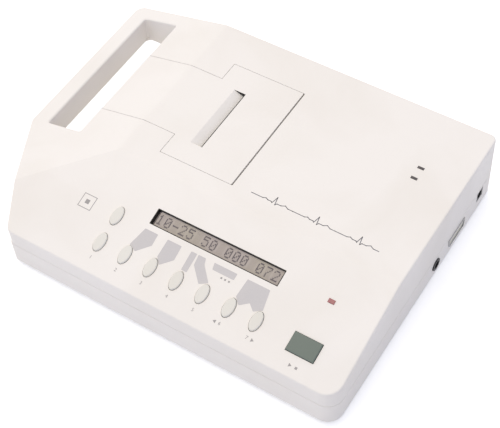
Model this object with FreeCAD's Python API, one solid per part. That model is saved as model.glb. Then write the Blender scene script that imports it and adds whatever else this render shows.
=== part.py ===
import FreeCAD, Part
import math
import os

from FreeCAD import Placement, Rotation, Vector

# Portable one-channel electrocardiograph, millimetres.
# Modelled from the front left corner of the casing floor: X right, Y back, Z up.
# The finished pieces are moved so that the origin is under the middle of the whole machine.

# Casing
CASE_WIDTH = 265.0
CASE_DEPTH = 230.0
HANDLE_REACH = 48.0
HANDLE_FRONT_Y = 90.5
FRONT_HEIGHT = 37.0
DECK_HEIGHT = 59.0
PANEL_RUN = 86.0
WING_RUN = 38.0
HANDLE_EDGE_HEIGHT = 38.5
PARTING_HEIGHT = 22.0
WALL = 2.5
RIGHT_CORNER_RADIUS = 12.0
BACK_CORNER_RADIUS = 5.5
LEFT_CORNER_RADIUS = 7.0
INNER_CORNER_RADIUS = 3.0
LEAST_CORNER_RADIUS = 0.5
CREASE_RADIUS = 14.0
TOP_EDGE_RADIUS = 1.3
BOTTOM_EDGE_RADIUS = 2.5
PARTING_GROOVE = 0.5
PARTING_GROOVE_DEPTH = 0.4
LIP_HEIGHT = 2.0
LIP_CLEARANCE = 0.15

# Carry handle
BAR_WIDTH = 15.0
HANDLE_ARM = 12.5
SLOT_RIGHT_X = -2.0
SLOT_FRONT_Y = 92.0
SLOT_TOP_CORNER_RADIUS = 2.0
SLOT_LOW_CORNER_RADIUS = 5.0
HANDLE_BOTTOM = 18.5
HANDLE_ROUND = 2.5
SEAT_CLEARANCE = 0.2

# Feet and screws
FOOT_RADIUS = 7.0
FOOT_PROUD = 2.5
FOOT_RECESS = 1.0
FOOT_INSET = 10.5
FOOT_ROW = 34.0
BOSS_RADIUS = 4.0
BOSS_INSET = 8.5
MIDDLE_BOSS_SHARE = 0.6
SCREW_RADIUS = 1.5
SCREW_HEAD_RADIUS = 2.8
SCREW_HEAD_HEIGHT = 2.0
SCREW_GRIP = 10.0
HOLE_CLEARANCE = 0.1
CUT_OVERSHOOT = 1.0

# Printer lid
LID_LEFT_X = 65.0
LID_RIGHT_X = 126.3
LID_FRONT_Y = 99.3
LID_BACK_Y = 197.7
TONGUE_FRONT_Y = 118.0
TONGUE_BACK_Y = 180.5
LID_GAP = 0.35
LID_HINGE_GAP = 1.2
LID_THICKNESS = 2.5
LID_CORNER_RADIUS = 0.6
PAPER_WIDTH = 57.0
SLOT_X = 87.85
SLOT_WIDTH = 2.3
SLOT_LENGTH = 58.2
SLOT_MIDDLE_Y = 146.5
RAMP_RUN = 7.6
RAMP_DEPTH = 3.2
HINGE_OFFSET = 6.0
HINGE_DROP = 4.6
HINGE_DIP = 8.0
HINGE_PIN_RADIUS = 1.0
HINGE_ARM_WIDTH = 6.0
HINGE_ARM_THICKNESS = 1.6
HINGE_INSET = 8.0
RUNNING_CLEARANCE = 0.05

# Printer
PLATEN_RADIUS = 7.0
PLATEN_LENGTH = 59.0
PLATEN_HEIGHT = 40.0
PLATEN_SHAFT_RADIUS = 2.5
BUSH_RADIUS = 4.0
FRAME_PLATE = 2.0
FRAME_INSIDE = 65.0
FRAME_LEFT_X = 68.0
FRAME_RIGHT_X = 120.0
FRAME_HEIGHT = 50.0
FRAME_SEAT = 4.0
GEAR_MODULE = 0.6
GEAR_WIDTH = 4.0
GEAR_GAP = 1.0
PRESSURE_ANGLE = 25.0
BACKLASH = 0.12
ADDENDUM = 0.9
DEDENDUM = 1.3
FLANK_STEPS = 4
PLATEN_TEETH = 32
IDLER_TEETH = 36
PINION_TEETH = 16
MOTOR_X = 108.0
MOTOR_HEIGHT = 18.0
MOTOR_RADIUS = 10.0
MOTOR_LENGTH = 18.0
MOTOR_SHAFT_RADIUS = 1.0
IDLER_PIN_RADIUS = 1.5
HEAD_GAP = 0.6
HEAD_THICKNESS = 1.1
HEAD_HEIGHT = 12.0
BRACKET_THICKNESS = 3.0
BRACKET_DROP = 10.0
BRACKET_BOTTOM = 33.0
HEAD_PIVOT_HEIGHT = 29.0
HEAD_PIN_RADIUS = 1.5
SPRING_LENGTH = 11.0
SPRING_RADIUS = 2.6
SPRING_WIRE = 0.35
SPRING_PITCH = 2.0
SPRING_SPACING = 30.0
SPRING_SEAT_GAP = 0.3

# Paper
ROLL_RADIUS = 19.0
ROLL_X = 33.0
ROLL_HEIGHT = 26.0
CORE_RADIUS = 6.0
SPINDLE_RADIUS = 4.0
CORE_CLEARANCE = 0.08
TRAY_WALL = 2.0
TRAY_INSIDE = 60.0
TRAY_LEFT_X = 8.0
TRAY_RIGHT_X = 60.0
TRAY_HEIGHT = 36.0
STRIP_THICKNESS = 0.2
STRIP_GAP = 0.3

# Front panel, measured up the slope from its front edge
KEY_LENGTH = 14.5
KEY_WIDTH = 8.0
KEY_COUNT = 7
KEY_ROW_GAP = 36.9
KEY_FIRST_X = 66.6
KEY_ROW = 23.0
KEY_UPPER_ROW = 44.9
KEY_PROUD = 1.2
KEY_ROUND = 0.8
KEY_GAP = 0.35
KEY_FLANGE = 1.2
KEY_SKIRT = 1.0
KEY_BOARD_POSTS = (1.5, 4.5, 6.7)
KEY_STEM_RADIUS = 1.6
KEY_TRAVEL = 0.8
SWITCH_GAP = 0.2
SWITCH_HEIGHT = 4.3
SWITCH_SIZE = 6.0
SWITCH_PLUNGER = 1.0
BOARD_THICKNESS = 1.6
START_INSET = 34.9
START_ROW = 22.3
START_WIDTH = 20.7
START_LENGTH = 13.8
DISPLAY_LEFT_X = 90.2
DISPLAY_WIDTH = 103.2
DISPLAY_FRONT = 50.4
DISPLAY_HEIGHT = 12.6
DISPLAY_DEPTH = 4.2
BEZEL_LIP = 0.6
BEZEL_FLANGE = 4.0
GLASS_THICKNESS = 1.1
GLASS_EDGE = 3.0
GLASS_SINK = 1.6
GLASS_DARK_END = 2.2
DISPLAY_BOARD_WIDTH = 122.0
DISPLAY_BOARD_HEIGHT = 26.0
OVERLOAD_INSET = 34.5
OVERLOAD_ROW = 57.6
OVERLOAD_WIDTH = 5.0
OVERLOAD_LENGTH = 3.2
STATUS_INSET = 33.8
STATUS_FROM_BACK = 62.5
STATUS_PITCH = 10.2
STATUS_WIDTH = 5.0
STATUS_LENGTH = 2.2
LED_FLANGE = 1.0
LED_DEPTH = 5.0
LED_PROUD = 0.2

# Sockets in the right wall
INLET_FROM_BACK = 20.7
INLET_HEIGHT = 16.2
INLET_SIZE = 9.2
INLET_BORE_RADIUS = 3.1
INLET_PIN_RADIUS = 1.0
PATIENT_FROM_BACK = 57.8
PATIENT_HEIGHT = 13.6
PATIENT_LENGTH = 25.0
PATIENT_WIDTH = 8.3
PATIENT_FLANGE = 6.0
PATIENT_ROWS = ((8, 1.42), (7, -1.42))
PATIENT_CONTACT_PITCH = 2.75
PATIENT_CONTACT_RADIUS = 0.55
PATIENT_SHELL_WALL = 0.6
PATIENT_INSERT_GAP = 0.1
PATIENT_PLATE = 1.0
PATIENT_PLATE_EDGE = 2.0
PATIENT_LEAN = 10.0
JACK_FROM_BACK = 89.0
JACK_HEIGHT = 12.8
JACK_RADIUS = 5.0
JACK_BORE_RADIUS = 3.25
SOCKET_DEPTH = 11.0
SOCKET_PROUD = 0.8

# Power and boards
CELL_RADIUS = 7.2
CELL_LENGTH = 50.0
CELL_ROWS = 5
BATTERY_X = 24.0
BATTERY_Y = 17.0
DOOR_THICKNESS = 1.5
DOOR_GAP = 0.3
DOOR_LEDGE = 3.0
MAIN_BOARD_LEFT_X = 140.0
MAIN_BOARD_FRONT_Y = 104.0
MAIN_BOARD_RIGHT_GAP = 25.0
MAIN_BOARD_BACK_GAP = 26.0
POWER_BOARD_LEFT_X = 146.0
POWER_BOARD_FRONT_Y = 24.0
POWER_BOARD_RIGHT_GAP = 23.0
BOARD_ROW_GAP = 24.0
STANDOFF_HEIGHT = 5.0
STANDOFF_RADIUS = 3.5
BOARD_HOLE_INSET = 5.0

# Larger parts of the boards, placed as shares of their board
PROCESSOR_SIDE = 24.0
PROCESSOR_HEIGHT = 3.0
PROCESSOR_SPOT = (0.1, 0.3)
CHIP_WIDTH = 20.0
CHIP_DEPTH = 8.0
CHIP_HEIGHT = 4.0
CHIP_SPOT = (0.44, 0.1)
CHIP_PITCH_SHARE = 0.16
CAN_RADIUS = 4.0
CAN_HEIGHT = 12.0
CAN_SPOT = (0.78, 0.16)
CAN_PITCH_SHARE = 0.14
CORE_WIDTH = 26.0
CORE_DEPTH = 30.0
CORE_HEIGHT = 16.0
CORE_SPOT = (0.1, 0.18)
FILTER_RADIUS = 6.0
FILTER_HEIGHT = 15.0
FILTER_SPOT = (0.57, 0.32)
FILTER_PITCH_SHARE = 0.32
SINK_WIDTH = 6.0
SINK_DEPTH = 34.0
SINK_HEIGHT = 14.0
SINK_SPOT = (0.72, 0.18)

# Worked out from the sizes above
PANEL_SLOPE = (DECK_HEIGHT - FRONT_HEIGHT) / PANEL_RUN
WING_SLOPE = (DECK_HEIGHT - HANDLE_EDGE_HEIGHT) / (WING_RUN + HANDLE_REACH)
PANEL_ANGLE = math.degrees(math.atan(PANEL_SLOPE))
PANEL = Placement(Vector(0, 0, FRONT_HEIGHT), Rotation(Vector(1, 0, 0), PANEL_ANGLE))
ORIGIN = Vector((HANDLE_REACH - CASE_WIDTH - SOCKET_PROUD) / 2, -CASE_DEPTH / 2, FOOT_PROUD)
OUTLINE = [
    (0.0, 0.0, LEFT_CORNER_RADIUS),
    (CASE_WIDTH, 0.0, RIGHT_CORNER_RADIUS),
    (CASE_WIDTH, CASE_DEPTH, BACK_CORNER_RADIUS),
    (-HANDLE_REACH, CASE_DEPTH, LEFT_CORNER_RADIUS),
    (-HANDLE_REACH, HANDLE_FRONT_Y, LEFT_CORNER_RADIUS),
]
SLANT_Y = -SLOT_RIGHT_X * HANDLE_FRONT_Y / HANDLE_REACH
LOWER_OUTLINE = [
    (0.0, 0.0, INNER_CORNER_RADIUS),
    (CASE_WIDTH, 0.0, RIGHT_CORNER_RADIUS),
    (CASE_WIDTH, CASE_DEPTH, BACK_CORNER_RADIUS),
    (SLOT_RIGHT_X, CASE_DEPTH, INNER_CORNER_RADIUS),
    (SLOT_RIGHT_X, SLANT_Y, INNER_CORNER_RADIUS),
]
SLOT_LEFT_X = BAR_WIDTH - HANDLE_REACH
SLOT_BACK_Y = CASE_DEPTH - HANDLE_ARM
CASE_BOSSES = [
    (BOSS_INSET, BOSS_INSET),
    (CASE_WIDTH * MIDDLE_BOSS_SHARE, BOSS_INSET),
    (CASE_WIDTH - BOSS_INSET, BOSS_INSET),
    (BOSS_INSET, CASE_DEPTH - BOSS_INSET),
    (CASE_WIDTH * MIDDLE_BOSS_SHARE, CASE_DEPTH - BOSS_INSET),
    (CASE_WIDTH - BOSS_INSET, CASE_DEPTH - BOSS_INSET),
]
BAR_MIDDLE_X = BAR_WIDTH / 2 - HANDLE_REACH
HANDLE_BOSSES = [
    (BAR_MIDDLE_X, SLOT_FRONT_Y + BOSS_INSET),
    (BAR_MIDDLE_X, SLOT_BACK_Y - BOSS_INSET),
    (-BOSS_INSET, SLOT_FRONT_Y - 2 * BOSS_INSET),
]
PLATEN_X = SLOT_X - PLATEN_RADIUS
FRAME_BACK_Y = SLOT_MIDDLE_Y + FRAME_INSIDE / 2 + FRAME_PLATE
FRAME_FRONT_Y = SLOT_MIDDLE_Y - FRAME_INSIDE / 2 - FRAME_PLATE
HEAD_X = PLATEN_X + PLATEN_RADIUS + HEAD_GAP
BRACKET_X = HEAD_X + HEAD_THICKNESS
HEAD_PIVOT_X = BRACKET_X + BRACKET_THICKNESS / 2
BRACKET_TOP = DECK_HEIGHT - BRACKET_DROP
SPRING_BAR_X = BRACKET_X + BRACKET_THICKNESS + SPRING_LENGTH
HINGE_X = LID_RIGHT_X + HINGE_OFFSET
HINGE_Z = DECK_HEIGHT - HINGE_DROP
UNDER_PANEL = -WALL
START_X = CASE_WIDTH - START_INSET
OVERLOAD_X = CASE_WIDTH - OVERLOAD_INSET
STATUS_X = CASE_WIDTH - STATUS_INSET
STATUS_FRONT_Y = CASE_DEPTH - STATUS_FROM_BACK
KEY_PITCH = (START_X - KEY_ROW_GAP - KEY_FIRST_X) / (KEY_COUNT - 1)
INLET_Y = CASE_DEPTH - INLET_FROM_BACK
PATIENT_Y = CASE_DEPTH - PATIENT_FROM_BACK
JACK_Y = CASE_DEPTH - JACK_FROM_BACK
MAIN_BOARD_WIDTH = CASE_WIDTH - MAIN_BOARD_RIGHT_GAP - MAIN_BOARD_LEFT_X
MAIN_BOARD_DEPTH = CASE_DEPTH - MAIN_BOARD_BACK_GAP - MAIN_BOARD_FRONT_Y
POWER_BOARD_WIDTH = CASE_WIDTH - POWER_BOARD_RIGHT_GAP - POWER_BOARD_LEFT_X
POWER_BOARD_DEPTH = MAIN_BOARD_FRONT_Y - BOARD_ROW_GAP - POWER_BOARD_FRONT_Y


def solid_box(x0, x1, y0, y1, z0, z1):
    """Box between two corners."""
    return Part.makeBox(x1 - x0, y1 - y0, z1 - z0, Vector(x0, y0, z0))


def rod_y(x, z, y0, y1, radius):
    """Round bar along Y."""
    return Part.makeCylinder(radius, y1 - y0, Vector(x, y0, z), Vector(0, 1, 0))


def rod_z(x, y, z0, z1, radius):
    """Round bar along Z."""
    return Part.makeCylinder(radius, z1 - z0, Vector(x, y, z0))


def rod_x(y, z, x0, x1, radius):
    """Round bar along X."""
    return Part.makeCylinder(radius, x1 - x0, Vector(x0, y, z), Vector(1, 0, 0))


def rounded_face(corners):
    """Face of a polygon whose corners (x, y, radius) are rounded by tangent arcs."""
    edges = []
    ends = []
    count = len(corners)
    for i in range(count):
        x, y, radius = corners[i]
        here = Vector(x, y, 0)
        before = Vector(corners[i - 1][0], corners[i - 1][1], 0) - here
        after = Vector(corners[(i + 1) % count][0], corners[(i + 1) % count][1], 0) - here
        before.normalize()
        after.normalize()
        half = before.getAngle(after) / 2
        reach = radius / math.tan(half)
        middle = before + after
        middle.normalize()
        centre = here + middle * (radius / math.sin(half))
        ends.append((here + before * reach, centre - middle * radius, here + after * reach))
    for i in range(count):
        start, mid, stop = ends[i]
        edges.append(Part.Arc(start, mid, stop).toShape())
        edges.append(Part.LineSegment(stop, ends[(i + 1) % count][0]).toShape())
    return Part.Face(Part.Wire(edges))


def inset(corners, amount):
    """Corners of the same polygon, counter-clockwise, moved inwards by an amount."""
    count = len(corners)
    lines = []
    for i in range(count):
        a = Vector(corners[i][0], corners[i][1], 0)
        b = Vector(corners[(i + 1) % count][0], corners[(i + 1) % count][1], 0)
        along = (b - a).normalize()
        inward = Vector(-along.y, along.x, 0)
        lines.append((a + inward * amount, along))
    moved = []
    for i in range(count):
        p, d = lines[i - 1]
        q, e = lines[i]
        cross = d.x * e.y - d.y * e.x
        t = ((q.x - p.x) * e.y - (q.y - p.y) * e.x) / cross
        radius = max(corners[i][2] - amount, LEAST_CORNER_RADIUS)
        moved.append((p.x + d.x * t, p.y + d.y * t, radius))
    return moved


def column(corners, z0, z1):
    """Upright prism of a rounded outline."""
    face = rounded_face(corners)
    face.translate(Vector(0, 0, z0))
    return face.extrude(Vector(0, 0, z1 - z0))


def under_slope(slope, low, run, sink):
    """Profile in a vertical plane of what lies under a slope that a rounded crease joins to the deck."""
    drop = sink * math.sqrt(1 + slope * slope)
    far = 2 * (CASE_WIDTH + CASE_DEPTH)
    deck = DECK_HEIGHT - sink
    crease = run + (drop - sink) / slope
    half = math.atan(slope) / 2
    reach = (CREASE_RADIUS - sink) * math.tan(half)
    angle = math.atan(slope)
    start = Vector(crease - reach * math.cos(angle), deck - reach * math.sin(angle), 0)
    stop = Vector(crease + reach, deck, 0)
    centre = Vector(stop.x, deck - (CREASE_RADIUS - sink), 0)
    mid = centre + Vector(-math.sin(half), math.cos(half), 0) * (CREASE_RADIUS - sink)
    left = Vector(-far, low - drop - slope * far, 0)
    corner = Vector(-far, -far, 0)
    right = Vector(far, -far, 0)
    top = Vector(far, deck, 0)
    edges = [
        Part.LineSegment(corner, left).toShape(),
        Part.LineSegment(left, start).toShape(),
        Part.Arc(start, mid, stop).toShape(),
        Part.LineSegment(stop, top).toShape(),
        Part.LineSegment(top, right).toShape(),
        Part.LineSegment(right, corner).toShape(),
    ]
    return Part.Face(Part.Wire(edges))


def under_top(sink):
    """Everything below the casing's three-sided top, sunk by an amount."""
    far = 2 * (CASE_WIDTH + CASE_DEPTH)
    panel = under_slope(PANEL_SLOPE, FRONT_HEIGHT, PANEL_RUN, sink)
    panel.Placement = Placement(Vector(-far, 0, 0), Rotation(Vector(1, 1, 1), 120))
    wing_low = DECK_HEIGHT - WING_SLOPE * WING_RUN
    wing = under_slope(WING_SLOPE, wing_low, WING_RUN, sink)
    wing.Placement = Placement(Vector(0, far, 0), Rotation(Vector(1, 0, 0), 90))
    panel_block = panel.extrude(Vector(2 * far, 0, 0))
    wing_block = wing.extrude(Vector(0, -2 * far, 0))
    return panel_block.common(wing_block)


def rim_edges(shape):
    """Edges where a top face meets an upright wall."""
    found = []
    for edge in shape.Edges:
        faces = shape.ancestorsOfType(edge, Part.Face)
        if len(faces) != 2:
            continue
        point = edge.valueAt((edge.FirstParameter + edge.LastParameter) / 2)
        tilt = []
        for face in faces:
            u, v = face.Surface.parameter(point)
            tilt.append(face.normalAt(u, v).z)
        if max(tilt) > 0.8 and abs(min(tilt)) < 0.1:
            found.append(edge)
    return found


def slot_corners(grow, corner):
    """Outline of the handle's finger slot with a given corner radius, grown by an amount."""
    radius = corner + grow
    return [
        (SLOT_LEFT_X - grow, SLOT_FRONT_Y - grow, radius),
        (SLOT_RIGHT_X + grow, SLOT_FRONT_Y - grow, radius),
        (SLOT_RIGHT_X + grow, SLOT_BACK_Y + grow, radius),
        (SLOT_LEFT_X - grow, SLOT_BACK_Y + grow, radius),
    ]


def casing_skin():
    """Solid upper half of the casing with the finger slot through it and its edges rounded."""
    block = column(OUTLINE, PARTING_HEIGHT, DECK_HEIGHT + WALL).common(under_top(0.0))
    slot = slot_corners(0.0, SLOT_TOP_CORNER_RADIUS)
    block = block.cut(column(slot, PARTING_HEIGHT - WALL, DECK_HEIGHT + WALL))
    block = block.makeFillet(TOP_EDGE_RADIUS, rim_edges(block))
    return block


def lid_corners(gap):
    """Outline of the T-shaped lid, drawn in by a gap; the hinge side has its own gap."""
    edge = LID_CORNER_RADIUS
    hinge = LID_HINGE_GAP if gap > 0 else 0.0
    return [
        (SLOT_RIGHT_X - WALL, TONGUE_FRONT_Y + gap, edge),
        (LID_LEFT_X + gap, TONGUE_FRONT_Y + gap, edge),
        (LID_LEFT_X + gap, LID_FRONT_Y + gap, edge),
        (LID_RIGHT_X - hinge, LID_FRONT_Y + gap, edge),
        (LID_RIGHT_X - hinge, LID_BACK_Y - gap, edge),
        (LID_LEFT_X + gap, LID_BACK_Y - gap, edge),
        (LID_LEFT_X + gap, TONGUE_BACK_Y - gap, edge),
        (SLOT_RIGHT_X - WALL, TONGUE_BACK_Y - gap, edge),
    ]


def on_panel(shape):
    """Piece drawn flat, with Z as the panel's normal, laid on the sloped panel."""
    placed = shape.copy()
    placed.Placement = PANEL.multiply(placed.Placement)
    return placed


def oval(x, row, grow, z0, z1):
    """Upright oval column, long up the panel."""
    curve = Part.Ellipse(Vector(x, row, z0), KEY_LENGTH / 2 + grow, KEY_WIDTH / 2 + grow)
    curve.rotate(Placement(Vector(x, row, z0), Rotation(Vector(0, 0, 1), 90), Vector(0, 0, 0)))
    curve.Center = Vector(x, row, z0)
    face = Part.Face(Part.Wire([curve.toShape()]))
    return face.extrude(Vector(0, 0, z1 - z0))


def key_places():
    """Middles of the eight oval keys: one above the first, seven in a row."""
    places = [(KEY_FIRST_X, KEY_UPPER_ROW)]
    for i in range(KEY_COUNT):
        places.append((KEY_FIRST_X + i * KEY_PITCH, KEY_ROW))
    return places


def boss(x, y):
    """Screw boss of the cover, down from the skin to the parting plane."""
    post = rod_z(x, y, PARTING_HEIGHT, DECK_HEIGHT, BOSS_RADIUS)
    post = post.common(under_top(WALL / 2))
    return post


def pilot(x, y):
    """Hole for a casing screw in a cover boss."""
    high = PARTING_HEIGHT + SCREW_GRIP + WALL
    return rod_z(x, y, PARTING_HEIGHT - WALL, high, SCREW_RADIUS + HOLE_CLEARANCE)


def top_cover(skin):
    """Upper shell with its handle, bosses and every opening."""
    hollow = column(inset(OUTLINE, WALL), PARTING_HEIGHT - WALL, DECK_HEIGHT).common(under_top(WALL))
    slot = slot_corners(WALL, SLOT_TOP_CORNER_RADIUS)
    hollow = hollow.cut(column(slot, PARTING_HEIGHT - 2 * WALL, DECK_HEIGHT))
    cover = skin.cut(hollow)
    for x, y in CASE_BOSSES + HANDLE_BOSSES:
        cover = cover.fuse(boss(x, y))
    for x, y in CASE_BOSSES + HANDLE_BOSSES:
        cover = cover.cut(pilot(x, y))
    opening = column(lid_corners(0.0), 0.0, DECK_HEIGHT + WALL)
    opening = opening.cut(under_top(LID_THICKNESS + LID_GAP).common(wall_block()))
    cover = cover.cut(opening)
    for x, row in key_places():
        cover = cover.cut(on_panel(oval(x, row, KEY_GAP, 3 * UNDER_PANEL, WALL)))
    cover = cover.cut(on_panel(start_block(KEY_GAP, 3 * UNDER_PANEL, WALL)))
    cover = cover.cut(on_panel(display_block(0.0, 3 * UNDER_PANEL, WALL)))
    cover = cover.cut(on_panel(overload_block(0.0, 3 * UNDER_PANEL, WALL)))
    for block in status_blocks(0.0, DECK_HEIGHT - 3 * WALL, DECK_HEIGHT + WALL):
        cover = cover.cut(block)
    rebate_top = PARTING_HEIGHT + LIP_HEIGHT + LIP_CLEARANCE
    rebate = column(inset(OUTLINE, WALL / 2), PARTING_HEIGHT - WALL, rebate_top)
    rebate = rebate.common(solid_box(SLOT_RIGHT_X + WALL, CASE_WIDTH, 0, CASE_DEPTH, 0, DECK_HEIGHT))
    kept = column(inset(LOWER_OUTLINE, WALL + LIP_CLEARANCE), 0, DECK_HEIGHT)
    cover = cover.cut(rebate.cut(kept))
    groove = column(OUTLINE, PARTING_HEIGHT, PARTING_HEIGHT + PARTING_GROOVE)
    groove = groove.cut(column(inset(OUTLINE, PARTING_GROOVE_DEPTH), PARTING_HEIGHT - WALL, DECK_HEIGHT))
    cover = cover.cut(groove)
    return cover.removeSplitter()


def wall_block():
    """Space of the finger slot's right wall, which the lid's tongue rests on."""
    return solid_box(SLOT_RIGHT_X - WALL, SLOT_RIGHT_X + WALL, SLOT_FRONT_Y, SLOT_BACK_Y, 0, DECK_HEIGHT)


def start_block(grow, z0, z1):
    """Start key's rectangle, flat."""
    x0 = START_X - START_WIDTH / 2 - grow
    y0 = START_ROW - START_LENGTH / 2 - grow
    return solid_box(x0, x0 + START_WIDTH + 2 * grow, y0, y0 + START_LENGTH + 2 * grow, z0, z1)


def display_block(grow, z0, z1):
    """Display opening's rectangle, flat."""
    x0 = DISPLAY_LEFT_X - grow
    y0 = DISPLAY_FRONT - grow
    return solid_box(x0, x0 + DISPLAY_WIDTH + 2 * grow, y0, y0 + DISPLAY_HEIGHT + 2 * grow, z0, z1)


def overload_block(grow, z0, z1):
    """Warning light's rectangle, flat."""
    x0 = OVERLOAD_X - OVERLOAD_WIDTH / 2 - grow
    y0 = OVERLOAD_ROW - OVERLOAD_LENGTH / 2 - grow
    return solid_box(x0, x0 + OVERLOAD_WIDTH + 2 * grow, y0, y0 + OVERLOAD_LENGTH + 2 * grow, z0, z1)


def status_blocks(grow, z0, z1):
    """The two status lights' rectangles on the deck."""
    blocks = []
    for i in range(2):
        x0 = STATUS_X - STATUS_WIDTH / 2 - grow
        y0 = STATUS_FRONT_Y + i * STATUS_PITCH - STATUS_LENGTH / 2 - grow
        blocks.append(solid_box(x0, x0 + STATUS_WIDTH + 2 * grow, y0, y0 + STATUS_LENGTH + 2 * grow, z0, z1))
    return blocks


def foot_places():
    """Middles of the four feet."""
    places = []
    for x in (FOOT_INSET, CASE_WIDTH - FOOT_INSET):
        for y in (FOOT_ROW, CASE_DEPTH - FOOT_ROW):
            places.append((x, y))
    return places


def battery_corner():
    """Far corner of the battery, in X and Y."""
    return BATTERY_X + 2 * CELL_LENGTH, BATTERY_Y + 2 * CELL_RADIUS * CELL_ROWS


def board_holes(left, front, width, depth):
    """Four screw places of a board."""
    near = BOARD_HOLE_INSET
    return [(left + a, front + b) for a in (near, width - near) for b in (near, depth - near)]


def all_board_holes():
    """Screw places of both boards on the floor."""
    main = board_holes(MAIN_BOARD_LEFT_X, MAIN_BOARD_FRONT_Y, MAIN_BOARD_WIDTH, MAIN_BOARD_DEPTH)
    power = board_holes(POWER_BOARD_LEFT_X, POWER_BOARD_FRONT_Y, POWER_BOARD_WIDTH, POWER_BOARD_DEPTH)
    return main + power


def frame_holes():
    """Screw places of the printer frame's floor plate."""
    near = BOARD_HOLE_INSET
    xs = (FRAME_LEFT_X + near, FRAME_RIGHT_X - near)
    ys = (FRAME_FRONT_Y + FRAME_PLATE + near, FRAME_BACK_Y - FRAME_PLATE - near)
    return [(x, y) for x in xs for y in ys]


def door_block(grow, z0, z1):
    """Battery door's rectangle."""
    far_x, far_y = battery_corner()
    ledge = DOOR_LEDGE + grow
    return solid_box(BATTERY_X - ledge, far_x + ledge, BATTERY_Y - ledge, far_y + ledge, z0, z1)


def door_screw_places():
    """Two screws at the middle of the door's short ends."""
    far_x, far_y = battery_corner()
    middle = (BATTERY_Y + far_y) / 2
    reach = DOOR_LEDGE + BOSS_RADIUS - HOLE_CLEARANCE
    return [(BATTERY_X - reach, middle), (far_x + reach, middle)]


def door_tabs(grow, z0, z1):
    """Round ears of the battery door that take its screws."""
    return [rod_z(x, y, z0, z1, BOSS_RADIUS + grow) for x, y in door_screw_places()]


def d_shell(y, z, x0, x1, length, width):
    """D-shaped prism along X."""
    lean = width * math.tan(math.radians(PATIENT_LEAN))
    points = [
        Vector(x0, y - length / 2, z + width / 2),
        Vector(x0, y + length / 2, z + width / 2),
        Vector(x0, y + length / 2 - lean, z - width / 2),
        Vector(x0, y - length / 2 + lean, z - width / 2),
    ]
    wire = Part.makePolygon(points + [points[0]])
    return Part.Face(wire).extrude(Vector(x1 - x0, 0, 0))


def bottom_case():
    """Lower shell with its lip, bosses, standoffs and socket holes."""
    shell = column(LOWER_OUTLINE, 0.0, PARTING_HEIGHT)
    low_edges = [edge for edge in shell.Edges if edge.BoundBox.ZMax < HOLE_CLEARANCE]
    shell = shell.makeFillet(BOTTOM_EDGE_RADIUS, low_edges)
    shell = shell.cut(column(inset(LOWER_OUTLINE, WALL), WALL, PARTING_HEIGHT + WALL))
    lip_outline = inset(LOWER_OUTLINE, WALL / 2 + LIP_CLEARANCE)
    lip = column(lip_outline, PARTING_HEIGHT - WALL, PARTING_HEIGHT + LIP_HEIGHT)
    lip = lip.cut(column(inset(LOWER_OUTLINE, WALL), 0, DECK_HEIGHT))
    lip = lip.common(solid_box(SLOT_RIGHT_X + 2 * WALL, CASE_WIDTH, 0, CASE_DEPTH, 0, DECK_HEIGHT))
    shell = shell.fuse(lip)
    for x, y in CASE_BOSSES:
        shell = shell.fuse(rod_z(x, y, 0.0, PARTING_HEIGHT, BOSS_RADIUS))
    for x, y in all_board_holes():
        shell = shell.fuse(rod_z(x, y, 0.0, WALL + STANDOFF_HEIGHT, STANDOFF_RADIUS))
    for x, y in frame_holes():
        shell = shell.fuse(rod_z(x, y, 0.0, FRAME_SEAT, STANDOFF_RADIUS))
    for x, y in door_screw_places():
        shell = shell.fuse(rod_z(x, y, 0.0, DOOR_THICKNESS + SCREW_GRIP, BOSS_RADIUS))
    for x, y in CASE_BOSSES:
        shell = shell.cut(rod_z(x, y, -WALL, PARTING_HEIGHT + WALL, SCREW_RADIUS + HOLE_CLEARANCE))
        seat = PARTING_HEIGHT - SCREW_GRIP / 2
        shell = shell.cut(rod_z(x, y, -WALL, seat, SCREW_HEAD_RADIUS + HOLE_CLEARANCE))
    for x, y in all_board_holes():
        shell = shell.cut(rod_z(x, y, WALL / 2, DECK_HEIGHT, SCREW_RADIUS + HOLE_CLEARANCE))
    for x, y in frame_holes():
        shell = shell.cut(rod_z(x, y, WALL / 4, DECK_HEIGHT, SCREW_RADIUS + HOLE_CLEARANCE))
    far_x, far_y = battery_corner()
    shell = shell.cut(solid_box(BATTERY_X, far_x, BATTERY_Y, far_y, -WALL, 2 * WALL))
    shell = shell.cut(door_block(DOOR_GAP, -WALL, DOOR_THICKNESS))
    for ear in door_tabs(DOOR_GAP, -WALL, DOOR_THICKNESS):
        shell = shell.cut(ear)
    for x, y in door_screw_places():
        shell = shell.cut(rod_z(x, y, -WALL, SCREW_GRIP + HOLE_CLEARANCE, SCREW_RADIUS + HOLE_CLEARANCE))
    for x, y in foot_places():
        shell = shell.cut(rod_z(x, y, -WALL, FOOT_RECESS, FOOT_RADIUS + HOLE_CLEARANCE))
    wall_x = CASE_WIDTH - 2 * WALL
    end_x = CASE_WIDTH + WALL
    half = INLET_SIZE / 2 + HOLE_CLEARANCE
    low = INLET_HEIGHT - half
    high = INLET_HEIGHT + half
    shell = shell.cut(solid_box(wall_x, end_x, INLET_Y - half, INLET_Y + half, low, high))
    grow = 2 * HOLE_CLEARANCE
    length = PATIENT_LENGTH + grow
    shell = shell.cut(d_shell(PATIENT_Y, PATIENT_HEIGHT, wall_x, end_x, length, PATIENT_WIDTH + grow))
    shell = shell.cut(rod_x(JACK_Y, JACK_HEIGHT, wall_x, end_x, JACK_RADIUS + HOLE_CLEARANCE))
    return shell.removeSplitter()


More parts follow.
